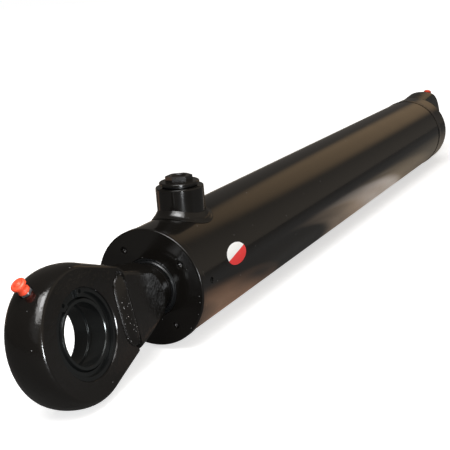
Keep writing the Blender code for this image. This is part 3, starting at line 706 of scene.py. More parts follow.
class AddBarrel(PieceOperator, bpy.types.Operator):
    """Adds the tube with its port drillings and the tapped hole for the lock screw"""

    bl_idname = "cylinder.add_barrel"
    bl_label = "Barrel"

    def build(self, sizes):
        outer = sizes.barrel_diameter / 2
        path_radius = sizes.bore / 4
        mesh = bpy.data.meshes.new("barrel")
        points = [(r - path_radius, -a, 0) for a, r in barrel_outline(sizes)]
        count = len(points)
        mesh.from_pydata(points, [(k, (k + 1) % count) for k in range(count)], [])
        barrel = linked("barrel", mesh)
        run_tree(barrel, tree_named("turned", turning_tree), {
            "Facets": FINE, "Path radius": path_radius, "Material": finish("black gloss paint"),
        })
        clear = outer + 0.01
        drilling, screw_hole = 0.010, 0.0034
        way = lock_screw_way()
        at = Vector((LOCK_SCREW_X, 0, 0))
        bm = bmesh.new()
        bm.from_mesh(barrel.data)
        bmesh.ops.recalc_face_normals(bm, faces=bm.faces)
        bm.to_mesh(barrel.data)
        bm.free()
        cut(barrel, [
            rod_of((FRONT_PORT_X, 0, drilling), (FRONT_PORT_X, 0, clear), drilling),
            rod_of((REAR_PORT_X, drilling, 0), (REAR_PORT_X, clear, 0), drilling),
            rod_of(at + way * 0.045, at + way * clear, screw_hole, 32),
        ])
        smooth(barrel)
        barrel.data.transform(TUBE)
        dress(barrel, "barrel", "black_paint", finish("black gloss paint"), "barrel_tube")


# The lock screw stands in the tube beside the gland's thread, a little above the near side
LOCK_SCREW_X = 0.0232
LOCK_SCREW_RISE = math.radians(6)


def lock_screw_way():
    """The way from the tube's axis to the lock screw."""
    return Vector((0, -math.cos(LOCK_SCREW_RISE), math.sin(LOCK_SCREW_RISE)))


class AddCap(PieceOperator, bpy.types.Operator):
    """Adds the end cap and the weld that joins it to the tube"""

    bl_idname = "cylinder.add_cap"
    bl_label = "End cap and weld"

    def build(self, sizes):
        outer, bore = sizes.barrel_diameter / 2, sizes.bore / 2
        start = TUBE_END + 2 * GAP
        bevel = WELD_BEVEL
        cap = turned(on_axis([
            (TUBE_END - 0.016, bore - GAP - 0.001, 0), (TUBE_END - 0.015, bore - GAP, 0),
            (start, bore - GAP, 0), (start, outer - bevel, 0), (start + bevel, outer, 0),
            (CAP_END - 0.004, outer, 0.0006), (CAP_END, outer - 0.004, 0.0006),
        ]), FINE, closed=False)
        piece = smooth(add_object("end_cap", cap, TUBE), 25)
        dress(piece, "barrel", "black_paint", finish("black gloss paint"), "base_cap")
        middle = TUBE_END + GAP
        bead = turned([
            (middle - bevel, outer + 1.6 * GAP, 0), (middle - bevel * 0.6, outer + 0.0007, 0.0004),
            (middle + bevel * 0.6, outer + 0.0007, 0.0004), (middle + bevel, outer + 1.6 * GAP, 0),
            (middle, outer - bevel + 2 * GAP, 0),
        ], FINE)
        core = add_object("bead", bead, TUBE)
        steps = 240
        turns = [k * math.tau / steps for k in range(steps)]
        path = [(middle, (outer + 0.0002) * math.sin(a), (outer + 0.0002) * math.cos(a)) for a in turns]
        outward = [(0, math.sin(a), math.cos(a)) for a in turns]
        lobes = ripples("lobes", path, outward, True, bevel * 0.95, 0.0007, TUBE)
        weld = joined("end_cap_weld", [core, lobes])
        dress(weld, "barrel", "painted_weld", finish("black paint on weld"), "base_cap_weld")


class AddGland(PieceOperator, bpy.types.Operator):
    """Adds the screwed gland with its spanner holes, the rod's wiper and the lock screw"""

    bl_idname = "cylinder.add_gland"
    bl_label = "Gland, wiper and lock screw"

    def build(self, sizes):
        outer, bore = sizes.barrel_diameter / 2, sizes.bore / 2
        rod = sizes.rod_diameter / 2
        flange, length, thread, thread_end = 0.0095, 0.066, 0.0575, 0.042
        rod_bore = rod + 0.0005
        wiper_end, wiper_seat = 0.007, 0.033
        seal_start, seal_end, seal_floor = 0.014, 0.0255, 0.0355
        band_start, band_end, band_floor = 0.030, 0.050, rod_bore + 0.0025
        o_ring, o_ring_end, o_ring_floor = 0.050, 0.05598, bore - 0.0046
        body = bore - GAP
        rim = outer + 0.001
        gland = turned([
            (0, wiper_seat, 0.0007), (0, rim, 0.0016), (flange, rim, 0.0007), (flange, thread, 0),
            (thread_end, thread, 0), (thread_end, body, 0), (o_ring, body, 0),
            (o_ring, o_ring_floor, 0), (o_ring_end, o_ring_floor, 0), (o_ring_end, body, 0),
            (length, body, 0.001), (length, rod_bore, 0), (band_end, rod_bore, 0),
            (band_end, band_floor, 0), (band_start, band_floor, 0), (band_start, rod_bore, 0),
            (seal_end, rod_bore, 0), (seal_end, seal_floor, 0), (seal_start, seal_floor, 0),
            (seal_start, rod_bore, 0), (wiper_end, rod_bore, 0), (wiper_end, wiper_seat, 0),
        ], FINE)
        piece = add_object("gland_head", gland)
        holes, hole_circle, first_hole = [], 0.0495, math.radians(54.4)
        for k in range(4):
            angle = first_hole + k * math.pi / 2
            y, z = hole_circle * math.cos(angle), hole_circle * math.sin(angle)
            drill = turned(on_axis([
                (-0.004, 0.0050, 0), (0.0003, 0.0045, 0), (0.0005, 0.0040, 0), (0.0038, 0.0038, 0.0012),
                (0.0054, 0.0014, 0.0008),
            ]), 48, closed=False)
            holes.append(add_object("hole", drill, Matrix.Translation((0, y, z))))
        cut(piece, holes)
        flat_kept(piece)
        piece.data.transform(TUBE)
        dress(piece, "barrel", "black_paint", finish("black paint on gland"), "gland")

        way = lock_screw_way()
        at = Vector((LOCK_SCREW_X, 0, 0))
        head = outer - 0.0012
        screw = rod_of(at + way * 0.0578, at + way * head, 0.0030, 32)
        screw.name = "gland_grub_screw"
        socket = rod_of(at + way * (head - 0.003), at + way * (head + 0.01), 0.0017, 6)
        cut(screw, [socket])
        softened(screw, 0.0003)
        screw.data.transform(TUBE)
        dress(screw, "barrel", "spring_steel", finish("spring steel"), "gland_lock_screw")

        touch, seat, end = rod + GAP, wiper_seat - GAP, 0.0067
        middle = (touch + seat) / 2
        wiper = turned([
            (end, seat, 0), (0.0003, seat, 0.0003), (0.0003, middle + 0.0006, 0.0002),
            (0.0016, middle, 0.0004), (0.0003, middle - 0.001, 0.0003), (0.0008, touch, 0),
            (0.0035, touch + 0.0005, 0),
            (end, touch + 0.0005, 0),
        ], FINE)
        lip = smooth(add_object("wiper_lip", wiper, TUBE))
        dress(lip, "barrel", "polyurethane", finish("seal elastomer"), "rod_wiper")


class AddRod(PieceOperator, bpy.types.Operator):
    """Adds the chromed rod, the paint on its exposed stub and the neck"""

    bl_idname = "cylinder.add_rod"
    bl_label = "Rod and neck"

    def build(self, sizes):
        radius, spigot = sizes.rod_diameter / 2, 0.020
        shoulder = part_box("piston")[0].x - AXIS.x - GAP
        rod = turned(on_axis([
            (NECK_END + GAP, radius, 0), (shoulder, radius, 0.002), (shoulder, spigot, 0),
            (ROD_END - 0.002, spigot, 0.0005), (ROD_END, spigot - 0.002, 0),
        ]), FINE, closed=False)
        piece = smooth(add_object("chromed_rod", rod, ROD))
        dress(piece, "rod", "hard_chrome", finish("hard chrome"), "piston_rod")
        film = turned(ring(NECK_END + GAP, -0.0012, radius + 0.00002, radius + 0.00016, 0.00006), FINE)
        piece = smooth(add_object("stub_paint", film, ROD))
        dress(piece, "rod", "black_paint", finish("black gloss paint"))

        large, small, flat = 0.048, 0.0365, 0.0285
        collar, collar_radius = NECK_END - 0.004, 0.0343
        steps = 12
        sections = [(NECK_START, large - 0.0012, flat), (NECK_START + 0.0004, large - 0.0003, flat)]
        for k in range(steps + 1):
            share = 0.02 + 0.98 * k / steps
            x = NECK_START + share * (collar - NECK_START)
            sections.append((x, large + share * (small - large), flat))
        sections += [
            (collar, collar_radius, None), (NECK_END - 0.0012, collar_radius, None),
            (NECK_END - 0.0004, collar_radius - 0.0004, None),
            (NECK_END, collar_radius - 0.0012, None),
        ]
        rings = [flatted_ring(*section) for section in sections]
        piece = add_object("forged_neck", lofted(rings), ROD)
        flat_kept(piece, 28)
        dress(piece, "rod", "black_paint", finish("black paint on forging"), "rod_neck")


def flatted_ring(x, radius, flat, rounding=0.0016):
    """A circle about X with a flat at each side, +Y and -Y, that runs softly into the round."""
    points = []
    for k in range(FINE):
        angle = k * math.tau / FINE
        reach = radius
        if flat is not None:
            side = flat / max(abs(math.sin(angle)), 0.1)
            blend = max(rounding - abs(side - radius), 0) / rounding
            reach = min(side, radius) - blend ** 2 * rounding / 4
        points.append((x, reach * math.sin(angle), reach * math.cos(angle)))
    return points


def eye_outline(radius, reach, end_half, steps=112):
    """Side outline of an eye: a round head and two tangents to the corners of its end."""
    corner = math.atan2(end_half, reach)
    touch = corner + math.acos(radius / math.hypot(reach, end_half))
    arc = [touch + k * (math.tau - 2 * touch) / steps for k in range(steps + 1)]
    head = [(radius * math.cos(a), radius * math.sin(a)) for a in arc]
    return [(reach, end_half), *head, (reach, -end_half)]


def eye_piece(sizes, name, reach, end_height, nipple_angle):
    """An eye plate with its rim crowned from one flat side to the other, bored and grooved."""
    layers, power, half, inset = 40, 2.0, sizes.eye_width / 2, 0.0002
    flat, crown_rise = sizes.eye_flat_diameter / 2, (sizes.eye_diameter - sizes.eye_flat_diameter) / 2
    rings = []
    for k in range(layers + 1):
        angle = -math.pi / 2 + k * math.pi / layers
        side = math.copysign(abs(math.sin(angle)) ** (2 / power), angle)
        crown = max(math.cos(angle), 0.0) ** (2 / power)
        outline = eye_outline(flat - inset + crown_rise * crown, reach, end_height / 2 + 0.0045 * crown)
        rings.append([(x, half * side, z) for x, z in outline])
    eye = add_object(name, lofted(rings))
    bore, groove = sizes.bearing_diameter / 2, sizes.bearing_diameter / 2 + 0.0023
    seat, groove_end, lead = 0.018, 0.0213, 0.0008
    half_cut = [
        (seat, bore, 0), (seat, groove, 0), (groove_end, groove, 0), (groove_end, bore, 0),
        (half - lead, bore, 0.0004), (half + 0.004, bore + lead + 0.004, 0),
    ]
    through = [(-y, r, c) for y, r, c in reversed(half_cut)] + half_cut
    spot = sizes.eye_diameter / 2 - 0.0032
    drill = turned(on_axis([
        (bore - 0.003, 0.002, 0), (spot - 0.011, 0.002, 0), (spot - 0.011, 0.0053, 0),
        (spot, 0.0053, 0), (spot, 0.0068, 0), (spot + 0.014, 0.0068, 0),
    ]), 48, "Z", closed=False)
    cut(eye, [
        add_object("bore", turned(on_axis(through), FINE, "Y", closed=False)),
        add_object("seat", drill, nipple_turn(nipple_angle)),
    ])
    return flat_kept(eye, 30)


def nipple_turn(angle):
    """Stands a piece built along Z on the rim of an eye."""
    return Matrix.Rotation(angle - math.pi / 2, 4, "Y")


# Body, place, distance from the pin to the eye's end, height there, nipple angle and the near side
EYES = {
    "rod": ("rod", ROD_EYE, NECK_START - GAP - (ROD_PIN.x - AXIS.x), 0.087, math.radians(54.8), -1),
    "base": ("barrel", BASE_EYE, BASE_PIN.x - AXIS.x - CAP_END - GAP, 0.118, math.radians(51), 1),
}


class AddEyes(PieceOperator, bpy.types.Operator):
    """Adds the forged eye at each end"""

    bl_idname = "cylinder.add_eyes"
    bl_label = "Eyes"

    def build(self, sizes):
        for end, (body, place, reach, height, angle, _) in EYES.items():
            eye = eye_piece(sizes, f"forged_{end}_eye", reach, height, angle)
            eye.data.transform(place)
            dress(eye, body, "black_paint", finish("black paint on forging"), f"{end}_eye")


def circlip_piece(sizes, name, sign):
    """An open retaining ring with a drilled lug at each end."""
    seat = sizes.bearing_diameter / 2 + 0.0023
    outer, inner, lug = seat - 0.0005, seat - 0.0062, seat - 0.0104
    gap, gap_at, lug_span = math.radians(27), math.radians(79), math.radians(15)
    start, end = gap / 2, math.tau - gap / 2

    def point(radius, angle):
        return (-radius * math.cos(gap_at + angle), radius * math.sin(gap_at + angle))

    steps = 96
    outline = [point(outer, start + (end - start) * k / steps) for k in range(steps + 1)]
    outline += [point(lug, end), point(lug, end - lug_span * 0.75), point(inner, end - lug_span)]
    run = end - start - 2 * lug_span
    outline += [point(inner, end - lug_span - run * k / steps) for k in range(1, steps + 1)]
    outline += [point(lug, start + lug_span * 0.75), point(lug, start)]
    low = 0.018 + GAP / 2
    faces = sorted((sign * low, sign * (low + 0.003)))
    clip = add_object(name, prism(outline, *faces, "Y"))
    holes = []
    for angle in (start + lug_span * 0.42, end - lug_span * 0.42):
        x, z = point((lug + outer) / 2, angle)
        holes.append(rod_of((x, faces[0] - 0.002, z), (x, faces[1] + 0.002, z), 0.0020, 24))
    cut(clip, holes)
    return softened(clip, 0.0003)


class AddBearings(PieceOperator, bpy.types.Operator):
    """Adds the spherical bearing in each eye and its two retaining rings"""

    bl_idname = "cylinder.add_bearings"
    bl_label = "Bearings and retaining rings"

    def build(self, sizes):
        housing, half = sizes.bearing_diameter / 2 - GAP, 0.018 - GAP
        ball, bore, ball_half = 0.039, sizes.pin_diameter / 2, 0.020
        race, lead, groove = ball + 0.0006, 0.0008, bore + 0.0015
        steps = 14
        steel, spring = finish("bearing steel"), finish("spring steel")
        for end, (body, place, _, _, _, near) in EYES.items():
            across = [half - 2 * half * k / steps for k in range(steps + 1)]
            corners = [(-half, housing, 0.0005), (half, housing, 0.0005)]
            corners += [(y, math.sqrt(race ** 2 - y ** 2), 0) for y in across]
            outer = smooth(add_object(f"{end}_outer_race", turned(corners, FINE, "Y"), place))
            dress(outer, body, "bearing_steel", steel, f"{end}_bearing_outer_ring")
            across = [ball_half - 2 * ball_half * k / steps for k in range(steps + 1)]
            corners = [
                (-ball_half, bore + lead, 0.0002), (-ball_half + lead, bore, 0.0002),
                (-0.0025, bore, 0.0004), (-0.0020, groove, 0.0004),
                (0.0020, groove, 0.0004), (0.0025, bore, 0.0004),
                (ball_half - lead, bore, 0.0002), (ball_half, bore + lead, 0.0002),
            ]
            corners += [(y, math.sqrt(ball ** 2 - y ** 2), 0.0003 if k in (0, steps) else 0)
                        for k, y in enumerate(across)]
            inner = smooth(add_object(f"{end}_ball", turned(corners, FINE, "Y"), place))
            dress(inner, f"{end}_bearing", "bearing_steel", steel, f"{end}_bearing_inner_ring")
            for side, sign in (("near", near), ("far", -near)):
                clip = circlip_piece(sizes, f"{end}_snap_ring_{side}", sign)
                clip.data.transform(place)
                dress(clip, body, "spring_steel", spring, f"{end}_circlip_{side}")


class AddNipples(PieceOperator, bpy.types.Operator):
    """Adds the grease nipple of each eye and its soft cap"""

    bl_idname = "cylinder.add_nipples"
    bl_label = "Grease nipples and caps"

    def build(self, sizes):
        seat = sizes.eye_diameter / 2 - 0.0034 + GAP
        stem, top, hex_height = 0.0029, 0.0108, 0.0044
        for end, (body, place, _, _, angle, _) in EYES.items():
            stand = place @ nipple_turn(angle) @ Matrix.Translation((0, 0, seat))
            core = turned(on_axis([
                (-0.009, 0.0045, 0), (-0.0082, 0.005, 0), (0.0005, 0.005, 0), (0.0005, stem, 0),
                (top - 0.0053, stem, 0.0003), (top - 0.0043, 0.7 * stem, 0.0003),
                (top - 0.0033, 1.05 * stem, 0.0004), (top - 0.0013, 0.9 * stem, 0.0003),
                (top, 0.4 * stem, 0.0003),
            ]), SMALL, "Z", closed=False)
            nipple = add_object(f"{end}_zinc_nipple", core)
            head = add_object("hex", prism(hexagon(0.011), 0, hex_height))
            cone = turned(on_axis([
                (-0.001, 0.0048, 0), (0.0006, 0.0063, 0),
                (hex_height - 0.0006, 0.0063, 0), (hex_height + 0.001, 0.0048, 0),
            ]), 72, "Z", closed=False)
            cut(head, [add_object("cone", cone)], "INTERSECT")
            cut(nipple, [head], "UNION")
            smooth(nipple, 30)
            nipple.data.transform(stand)
            dress(nipple, body, "zinc_plate", finish("zinc plate"), f"{end}_grease_nipple")

            foot = hex_height + GAP
            crown = foot + 0.0128
            hollow, skirt, waist, brim = 1.15 * stem, 0.0058, 0.0047, 0.0076
            cap = turned([
                (top + GAP, 0, 0), (top + GAP, hollow, 0.0004), (foot, hollow, 0.0003),
                (foot, skirt, 0.0004), (foot + 0.0022, skirt, 0.0007), (foot + 0.0036, waist, 0.0010),
                (foot + 0.0062, waist, 0.0012), (foot + 0.0082, brim, 0.0007),
                (foot + 0.0104, brim, 0.0007), (foot + 0.0116, 0.80 * brim, 0.0010),
                (foot + 0.0108, 0.55 * brim, 0.0010), (crown, 0.30 * brim, 0.0012), (crown, 0, 0),
            ], 72, "Z", closed=False)
            piece = smooth(add_object(f"{end}_red_cap", cap, stand), 50)
            dress(piece, body, "red_plastic", finish("red cap plastic"), f"{end}_nipple_cap")


# Place of each port: the rear one points to the far side
PORTS = {"front": FRONT_PORT, "rear": REAR_PORT}


class AddPorts(PieceOperator, bpy.types.Operator):
    """Adds the two port bosses with their plugs and washers"""

    bl_idname = "cylinder.add_ports"
    bl_label = "Ports and plugs"

    def build(self, sizes):
        outer, radius = sizes.barrel_diameter / 2, sizes.port_diameter / 2
        top, low, thread, drilling = PORT_TOP, outer - 0.012, 0.0168, 0.010
        collar_low, collar_top = top + 0.0025, top + 0.0059
        for end, place in PORTS.items():
            boss = add_object(f"{end}_boss", turned([
                (low, drilling, 0), (top - 0.019, drilling, 0), (top - 0.019, thread, 0),
                (top - 0.0012, thread, 0), (top, thread + 0.0012, 0.0003),
                (top, radius - 0.0004, 0.0005), (top - 0.0016, radius, 0.0007), (low, radius, 0),
            ], 128, "Z"))
            saddle = on_axis([(-0.06, outer + GAP, 0), (0.06, outer + GAP, 0)])
            saddle = turned(saddle, 192, closed=False)
            cut(boss, [add_object("saddle", saddle)])
            flat_kept(boss)
            boss.data.transform(place)
            dress(boss, "barrel", "black_paint", finish("black gloss paint"), f"{end}_port_boss")

            washer = turned(ring(top + GAP, top + 0.0022, thread, 0.020, 0.0005), MEDIUM, "Z")
            piece = smooth(add_object(f"{end}_seal_washer", washer, place))
            dress(piece, "barrel", "nitrile_rubber", finish("seal elastomer"), f"{end}_port_washer")

            plug = add_object(f"{end}_plug", turned(on_axis([
                (top - 0.014, 0.0155, 0), (top - 0.013, 0.0165, 0), (collar_low, 0.0165, 0),
                (collar_low, 0.023, 0.0005), (collar_top - 0.0009, 0.023, 0.0006),
                (collar_top, 0.0220, 0.0004),
            ]), MEDIUM, "Z", closed=False))
            head_top = collar_top + 0.006
            head = add_object("hex", prism(hexagon(0.027), collar_top - 0.001, head_top))
            cone = turned(on_axis([
                (collar_top - 0.002, 0.0168, 0), (head_top - 0.0009, 0.0168, 0),
                (head_top, 0.0146, 0.0003),
            ]), MEDIUM, "Z", closed=False)
            cut(head, [add_object("cone", cone)], "INTERSECT")
            cut(plug, [head], "UNION")
            recess = turned(on_axis([
                (head_top - 0.0045, 0.0072, 0.0008), (head_top - 0.0007, 0.0082, 0),
                (head_top + 0.003, 0.0118, 0),
            ]), 64, "Z", closed=False)
            cut(plug, [add_object("recess", recess)])
            softened(plug, 0.0003, 2, 28)
            plug.data.transform(place)
            dress(plug, "barrel", "black_plug", finish("black plug"), f"{end}_port_plug")


def port_weld(sizes, name, place):
    """A flared fillet along the line where the round boss meets the round tube, with its ripples."""
    inner, leg = sizes.port_diameter / 2 + GAP, 0.0075
    tube = sizes.barrel_diameter / 2 + 1.3 * GAP
    section = [
        (0, 0), (0, 1), (0.08, 0.88), (0.22, 0.66), (0.42, 0.43), (0.65, 0.24), (0.88, 0.11),
        (1, 0.03), (1, 0),
    ]

    def point(angle, out, up):
        reach = inner + out * leg
        y = reach * math.sin(angle)
        return Vector((reach * math.cos(angle), y, math.sqrt(tube ** 2 - y ** 2) + up * leg))

    steps = 144
    turns = [k * math.tau / steps for k in range(steps)]
    rings = [[point(a, *s) for s in section] for a in turns]
    core = add_object("fillet", lofted(rings, closed=True), place)
    path = [point(a, 0.36, 0.36) for a in turns]
    outward = [Vector((math.cos(a), math.sin(a), 1.1)).normalized() for a in turns]
    lobes = ripples("lobes", path, outward, True, 0.0036, 0.0006, place)
    return joined(name, [core, lobes])


def side_weld(name, wall, face, width, rise, length, place):
    """A run of weld along Z in the corner between an eye's flat side and the step beside it."""
    stations, out = 96, math.copysign(1, face)
    section = [
        (0, 0), (0, 1), (0.12, 1.03), (0.3, 1.0), (0.5, 0.87), (0.7, 0.64), (0.86, 0.36),
        (0.96, 0.12), (1, 0),
    ]

    def size_at(share):
        return max(math.sqrt(1 - abs(share) ** 5), 0.12)

    def point(share, a, b):
        size = size_at(share)
        return Vector((wall - width * size * a, face + out * rise * size * b, share * length / 2))

    shares = [math.sin((2 * k / stations - 1) * math.pi / 2) for k in range(stations + 1)]
    rings = [[point(share, *s) for s in section] for share in shares]
    core = add_object("bead", lofted(rings), place)
    way = Vector((-rise, out * width, 0)).normalized()
    pieces = [core]
    for number, (a, b) in enumerate(((0.05, 0.98), (0.93, 0.26))):
        path = [point(share, a, b) for share in shares if abs(share) < 0.97]
        pieces.append(ripples(
            f"lobes_{number}", path, [way] * len(path), False, 0.0008, 0.0007, place, 1.35, 0.34,
        ))
    return joined(name, pieces)


class AddWelds(PieceOperator, bpy.types.Operator):
    """Adds the rippled welds at the ports and beside the eyes"""

    bl_idname = "cylinder.add_welds"
    bl_label = "Welds"

    def build(self, sizes):
        weld, side_paint = finish("black paint on weld"), finish("black paint on side weld")
        for end, place in PORTS.items():
            piece = port_weld(sizes, f"{end}_boss_weld", place)
            dress(piece, "barrel", "painted_weld", weld, f"{end}_port_weld")
        face = sizes.eye_width / 2 + GAP
        neck_half = 0.0285
        runs = {
            "rod": (0.016, neck_half - sizes.eye_width / 2 - 2 * GAP, 0.075),
            "base": (0.010, 0.010, 0.100),
        }
        for end, run in runs.items():
            body, place, reach, _, _, near = EYES[end]
            for side, sign in (("near", near), ("far", -near)):
                name = f"{end}_side_weld_{side}"
                piece = side_weld(name, reach, sign * face, *run, place)
                dress(piece, body, "painted_weld", side_paint, f"{end}_eye_weld_{side}")


class AddLabel(PieceOperator, bpy.types.Operator):
    """Adds the bare two-tone oval label on the barrel"""

    bl_idname = "cylinder.add_label"
    bl_label = "Label"

    def build(self, sizes):
        radius = sizes.barrel_diameter / 2 + 0.00003
        thickness = 0.00014
        long_half, short_half = sizes.label_length / 2, sizes.label_height / 2
        at, lift = 0.0888, math.radians(15.6)
        circles, steps = 16, 96

        def point(share, turn, height):
            angle = lift + short_half * share * math.sin(turn) / radius
            reach = radius + height
            x = at + long_half * share * math.cos(turn)
            return (x, -reach * math.cos(angle), reach * math.sin(angle))

        turns = [k * math.tau / steps for k in range(steps)]
        rows = [(k / circles, thickness) for k in range(1, circles + 1)]
        rings = [[point(share, turn, height) for turn in turns] for share, height in rows + [(1.0, 0.0)]]
        label = add_object("oval_label", lofted(rings))
        uv = label.data.uv_layers.new(name="UVMap")
        for loop in label.data.loops:
            co = label.data.vertices[loop.vertex_index].co
            around = (math.atan2(co.z, -co.y) - lift) * radius
            uv.data[loop.index].uv = (
                0.5 + (co.x - at) / (2 * long_half), 0.5 + around / (2 * short_half),
            )
        smooth(label, 50)
        label.data.transform(TUBE)
        dress(label, "barrel", "red_plastic", finish("film label"))


class DressInnerPieces(PieceOperator, bpy.types.Operator):
    """Gives the hidden seals, guide bands, piston and nut their materials"""

    bl_idname = "cylinder.dress_inner_pieces"
    bl_label = "Inner pieces"

    def build(self, sizes):
        inner = {
            "seal elastomer": ("rod_seal", "gland_o_ring", "piston_seal"),
            "guide nylon": ("gland_guide_band", "piston_guide_band_front", "piston_guide_band_rear"),
            "turned steel": ("piston", "piston_nut"),
        }
        for name, nodes in inner.items():
            for node in nodes:
                mesh = frame["nodes"][node].data
                mesh.materials.clear()
                mesh.materials.append(finish(name))


# Studio

def power_property(name, description, default):
    """The power of a lamp."""
    return FloatProperty(name=name, description=description, default=default, subtype="POWER")


class StageSettings(bpy.types.PropertyGroup):
    """Camera and lamps of the studio"""

    camera_place: FloatVectorProperty(
        name="Camera place", description="Where the camera stands",
        default=(-1.2619, -0.54225, 0.377543), subtype="XYZ", unit="LENGTH",
    )
    camera_azimuth: FloatProperty(
        name="Azimuth", description="Turn of the view from +X towards +Y",
        default=math.radians(28.1609), subtype="ANGLE", unit="ROTATION",
    )
    camera_elevation: FloatProperty(
        name="Elevation", description="Rise of the view above the horizon",
        default=math.radians(-14.4653), subtype="ANGLE", unit="ROTATION",
    )
    camera_roll: FloatProperty(
        name="Roll", description="Roll of the camera about its view",
        default=math.radians(-4.2762), subtype="ANGLE", unit="ROTATION",
    )
    lens: FloatProperty(name="Lens", description="Focal length in millimetres", default=73.26)
    key_power: power_property("Key light", "Power of the large lamp overhead", 42.0)
    crown_power: power_property("Crown light", "Power of the small bright lamp overhead", 14.0)
    side_power: power_property("Side light", "Power of the small low lamp", 2.6)
    world_strength: FloatProperty(
        name="World light", description="Strength of the even light from all round", default=1.0,
    )


def background_share(tree):
    """How far a ray sees the white background: fully for the camera and through glass, less in gloss."""
    rays = put(tree, "ShaderNodeLightPath").outputs
    share = maths(tree, "ADD", rays["Is Camera Ray"], rays["Is Transmission Ray"], clamp=True)
    return maths(tree, "MULTIPLY_ADD", rays["Is Glossy Ray"], MIRRORED_WHITE, share, clamp=True)


# Share of the white background that gloss shows, so that black paint stays black
MIRRORED_WHITE = 0.06


def sky_patch(tree, way, azimuth, elevation, reach, colour, under):
    """Adds a soft round patch of light to the sky's colour."""
    aim = Vector((
        math.cos(azimuth) * math.cos(elevation), math.sin(azimuth) * math.cos(elevation),
        math.sin(elevation),
    ))
    near = put(tree, "ShaderNodeVectorMath", {0: way, 1: aim}, operation="DOT_PRODUCT")
    share = stretched(
        tree, near.outputs["Value"], math.cos(reach), math.cos(reach * 0.2), 0, 1,
        interpolation_type="SMOOTHERSTEP",
    )
    return mixed(tree, share, under, colour, blend_type="ADD")


def studio_world(strength):
    """White to the camera; to the object a dim warm room with soft patches of light."""
    world = bpy.data.worlds.new("studio")
    world.use_nodes = True
    tree = world.node_tree
    tree.nodes.clear()
    way = put(tree, "ShaderNodeTexCoord").outputs["Generated"]
    side = put(tree, "ShaderNodeSeparateXYZ", {"Vector": way}).outputs["Y"]
    room = mixed(tree, stretched(tree, side, -0.2, -0.7, 0, 1), (0.05, 0.04, 0.03), (0.33, 0.28, 0.22))
    for patch in SKY_PATCHES:
        room = sky_patch(tree, way, *patch, room)
    seen = put(tree, "ShaderNodeBackground", {"Color": (1, 1, 1, 1), "Strength": 1.0})
    felt = put(tree, "ShaderNodeBackground", {"Color": room, "Strength": strength})
    mix = put(tree, "ShaderNodeMixShader", {
        "Fac": background_share(tree), 1: felt.outputs["Background"], 2: seen.outputs["Background"],
    })
    put(tree, "ShaderNodeOutputWorld", {"Surface": mix.outputs["Shader"]})
    return world


# Azimuth, elevation, reach and colour of the soft lights of the room
SKY_PATCHES = (
    (math.radians(0), math.radians(23), math.radians(17), (0.44, 0.29, 0.15)),
    (math.radians(180), math.radians(35), math.radians(30), (0.30, 0.30, 0.30)),
)


def ramp(tree, value, stops):
    """A colour ramp over a value from 0 to 1."""
    node = tree.nodes.new("ShaderNodeValToRGB")
    elements = node.color_ramp.elements
    while len(elements) < len(stops):
        elements.new(0.5)
    for element, (position, colour) in zip(elements, stops):
        element.position = position
        element.color = (*colour, 1)
    tree.links.new(value, node.inputs["Fac"])
    return node.outputs["Color"]


# Painted reflections: the glowing patches of floor that the gloss paint shows along the cylinder: share
# of the run from -0.7 to 0.7 m, and colour
DARK = (0.02, 0.018, 0.015)
FLOOR_REFLECTION_PATCHES = (
    (0.19, DARK), (0.245, (0.46, 0.27, 0.17)), (0.285, (0.42, 0.24, 0.15)), (0.33, DARK),
    (0.50, DARK), (0.60, (0.60, 0.46, 0.34)), (0.71, (0.95, 0.84, 0.75)),
    (0.80, (0.38, 0.30, 0.21)), (0.95, (0.20, 0.17, 0.13)),
)


def floor_material(colour):
    """A pale matt floor: white to the camera, with the shadow; to other rays dim, with glowing patches
    that are painted reflections in the gloss paint.
    """
    made, tree, shader, at = start_material("pale floor", 0.75)
    link = tree.links.new
    shader.inputs["Specular IOR Level"].default_value = 0.1
    share = background_share(tree)
    place = put(tree, "ShaderNodeSeparateXYZ", {"Vector": at}).outputs
    # Painted reflections: to all rays but the camera's the floor is near black by the eye, dim grey
    # further out, and under the cylinder carries the brown and white patches of the run
    wander = stretched(tree, noise(tree, at, 7, 1), 0.3, 0.7, -0.04, 0.04)
    along = maths(tree, "ADD", stretched(tree, place["X"], -0.7, 0.7, 0, 1), wander)
    clear_of_eye = stretched(tree, place["X"], -0.50, -0.38, 0, 1)
    beside = mixed(tree, clear_of_eye, (0.015, 0.014, 0.013), shaded(colour, 0.07))
    under = stretched(tree, place["Y"], -0.24, -0.12, 0, 1)
    dim = mixed(tree, under, beside, ramp(tree, along, FLOOR_REFLECTION_PATCHES))
    tone = mixed(tree, noise(tree, at, 3, 3), colour, shaded(colour, 0.985))
    link(mixed(tree, share, dim, tone), shader.inputs["Base Color"])
    link(mixed(tree, share, dim, (1, 1, 1)), shader.inputs["Emission Color"])
    reach = put(tree, "ShaderNodeVectorMath", {0: at}, operation="LENGTH").outputs["Value"]
    lift = stretched(tree, reach, 0.7, 1.6, 0.12, 0.5)
    # To all rays but the camera's the floor glows at strength 0.5 in its dim patchy colour: painted
    # light for the paint to mirror
    link(maths(tree, "MULTIPLY_ADD", lift, share, 0.5), shader.inputs["Emission Strength"])
    return made


def lamp(name, at, towards, width, height, power, colour):
    """Adds a soft rectangular lamp that the camera doesn't see."""
    data = bpy.data.lights.new(name, "AREA")
    data.shape = "RECTANGLE"
    data.size, data.size_y = width, height
    data.energy = power
    data.color = colour
    made = linked(name, data)
    made.location = at
    made.rotation_euler = (Vector(towards) - Vector(at)).to_track_quat("-Z", "Y").to_euler()
    made.visible_camera = False


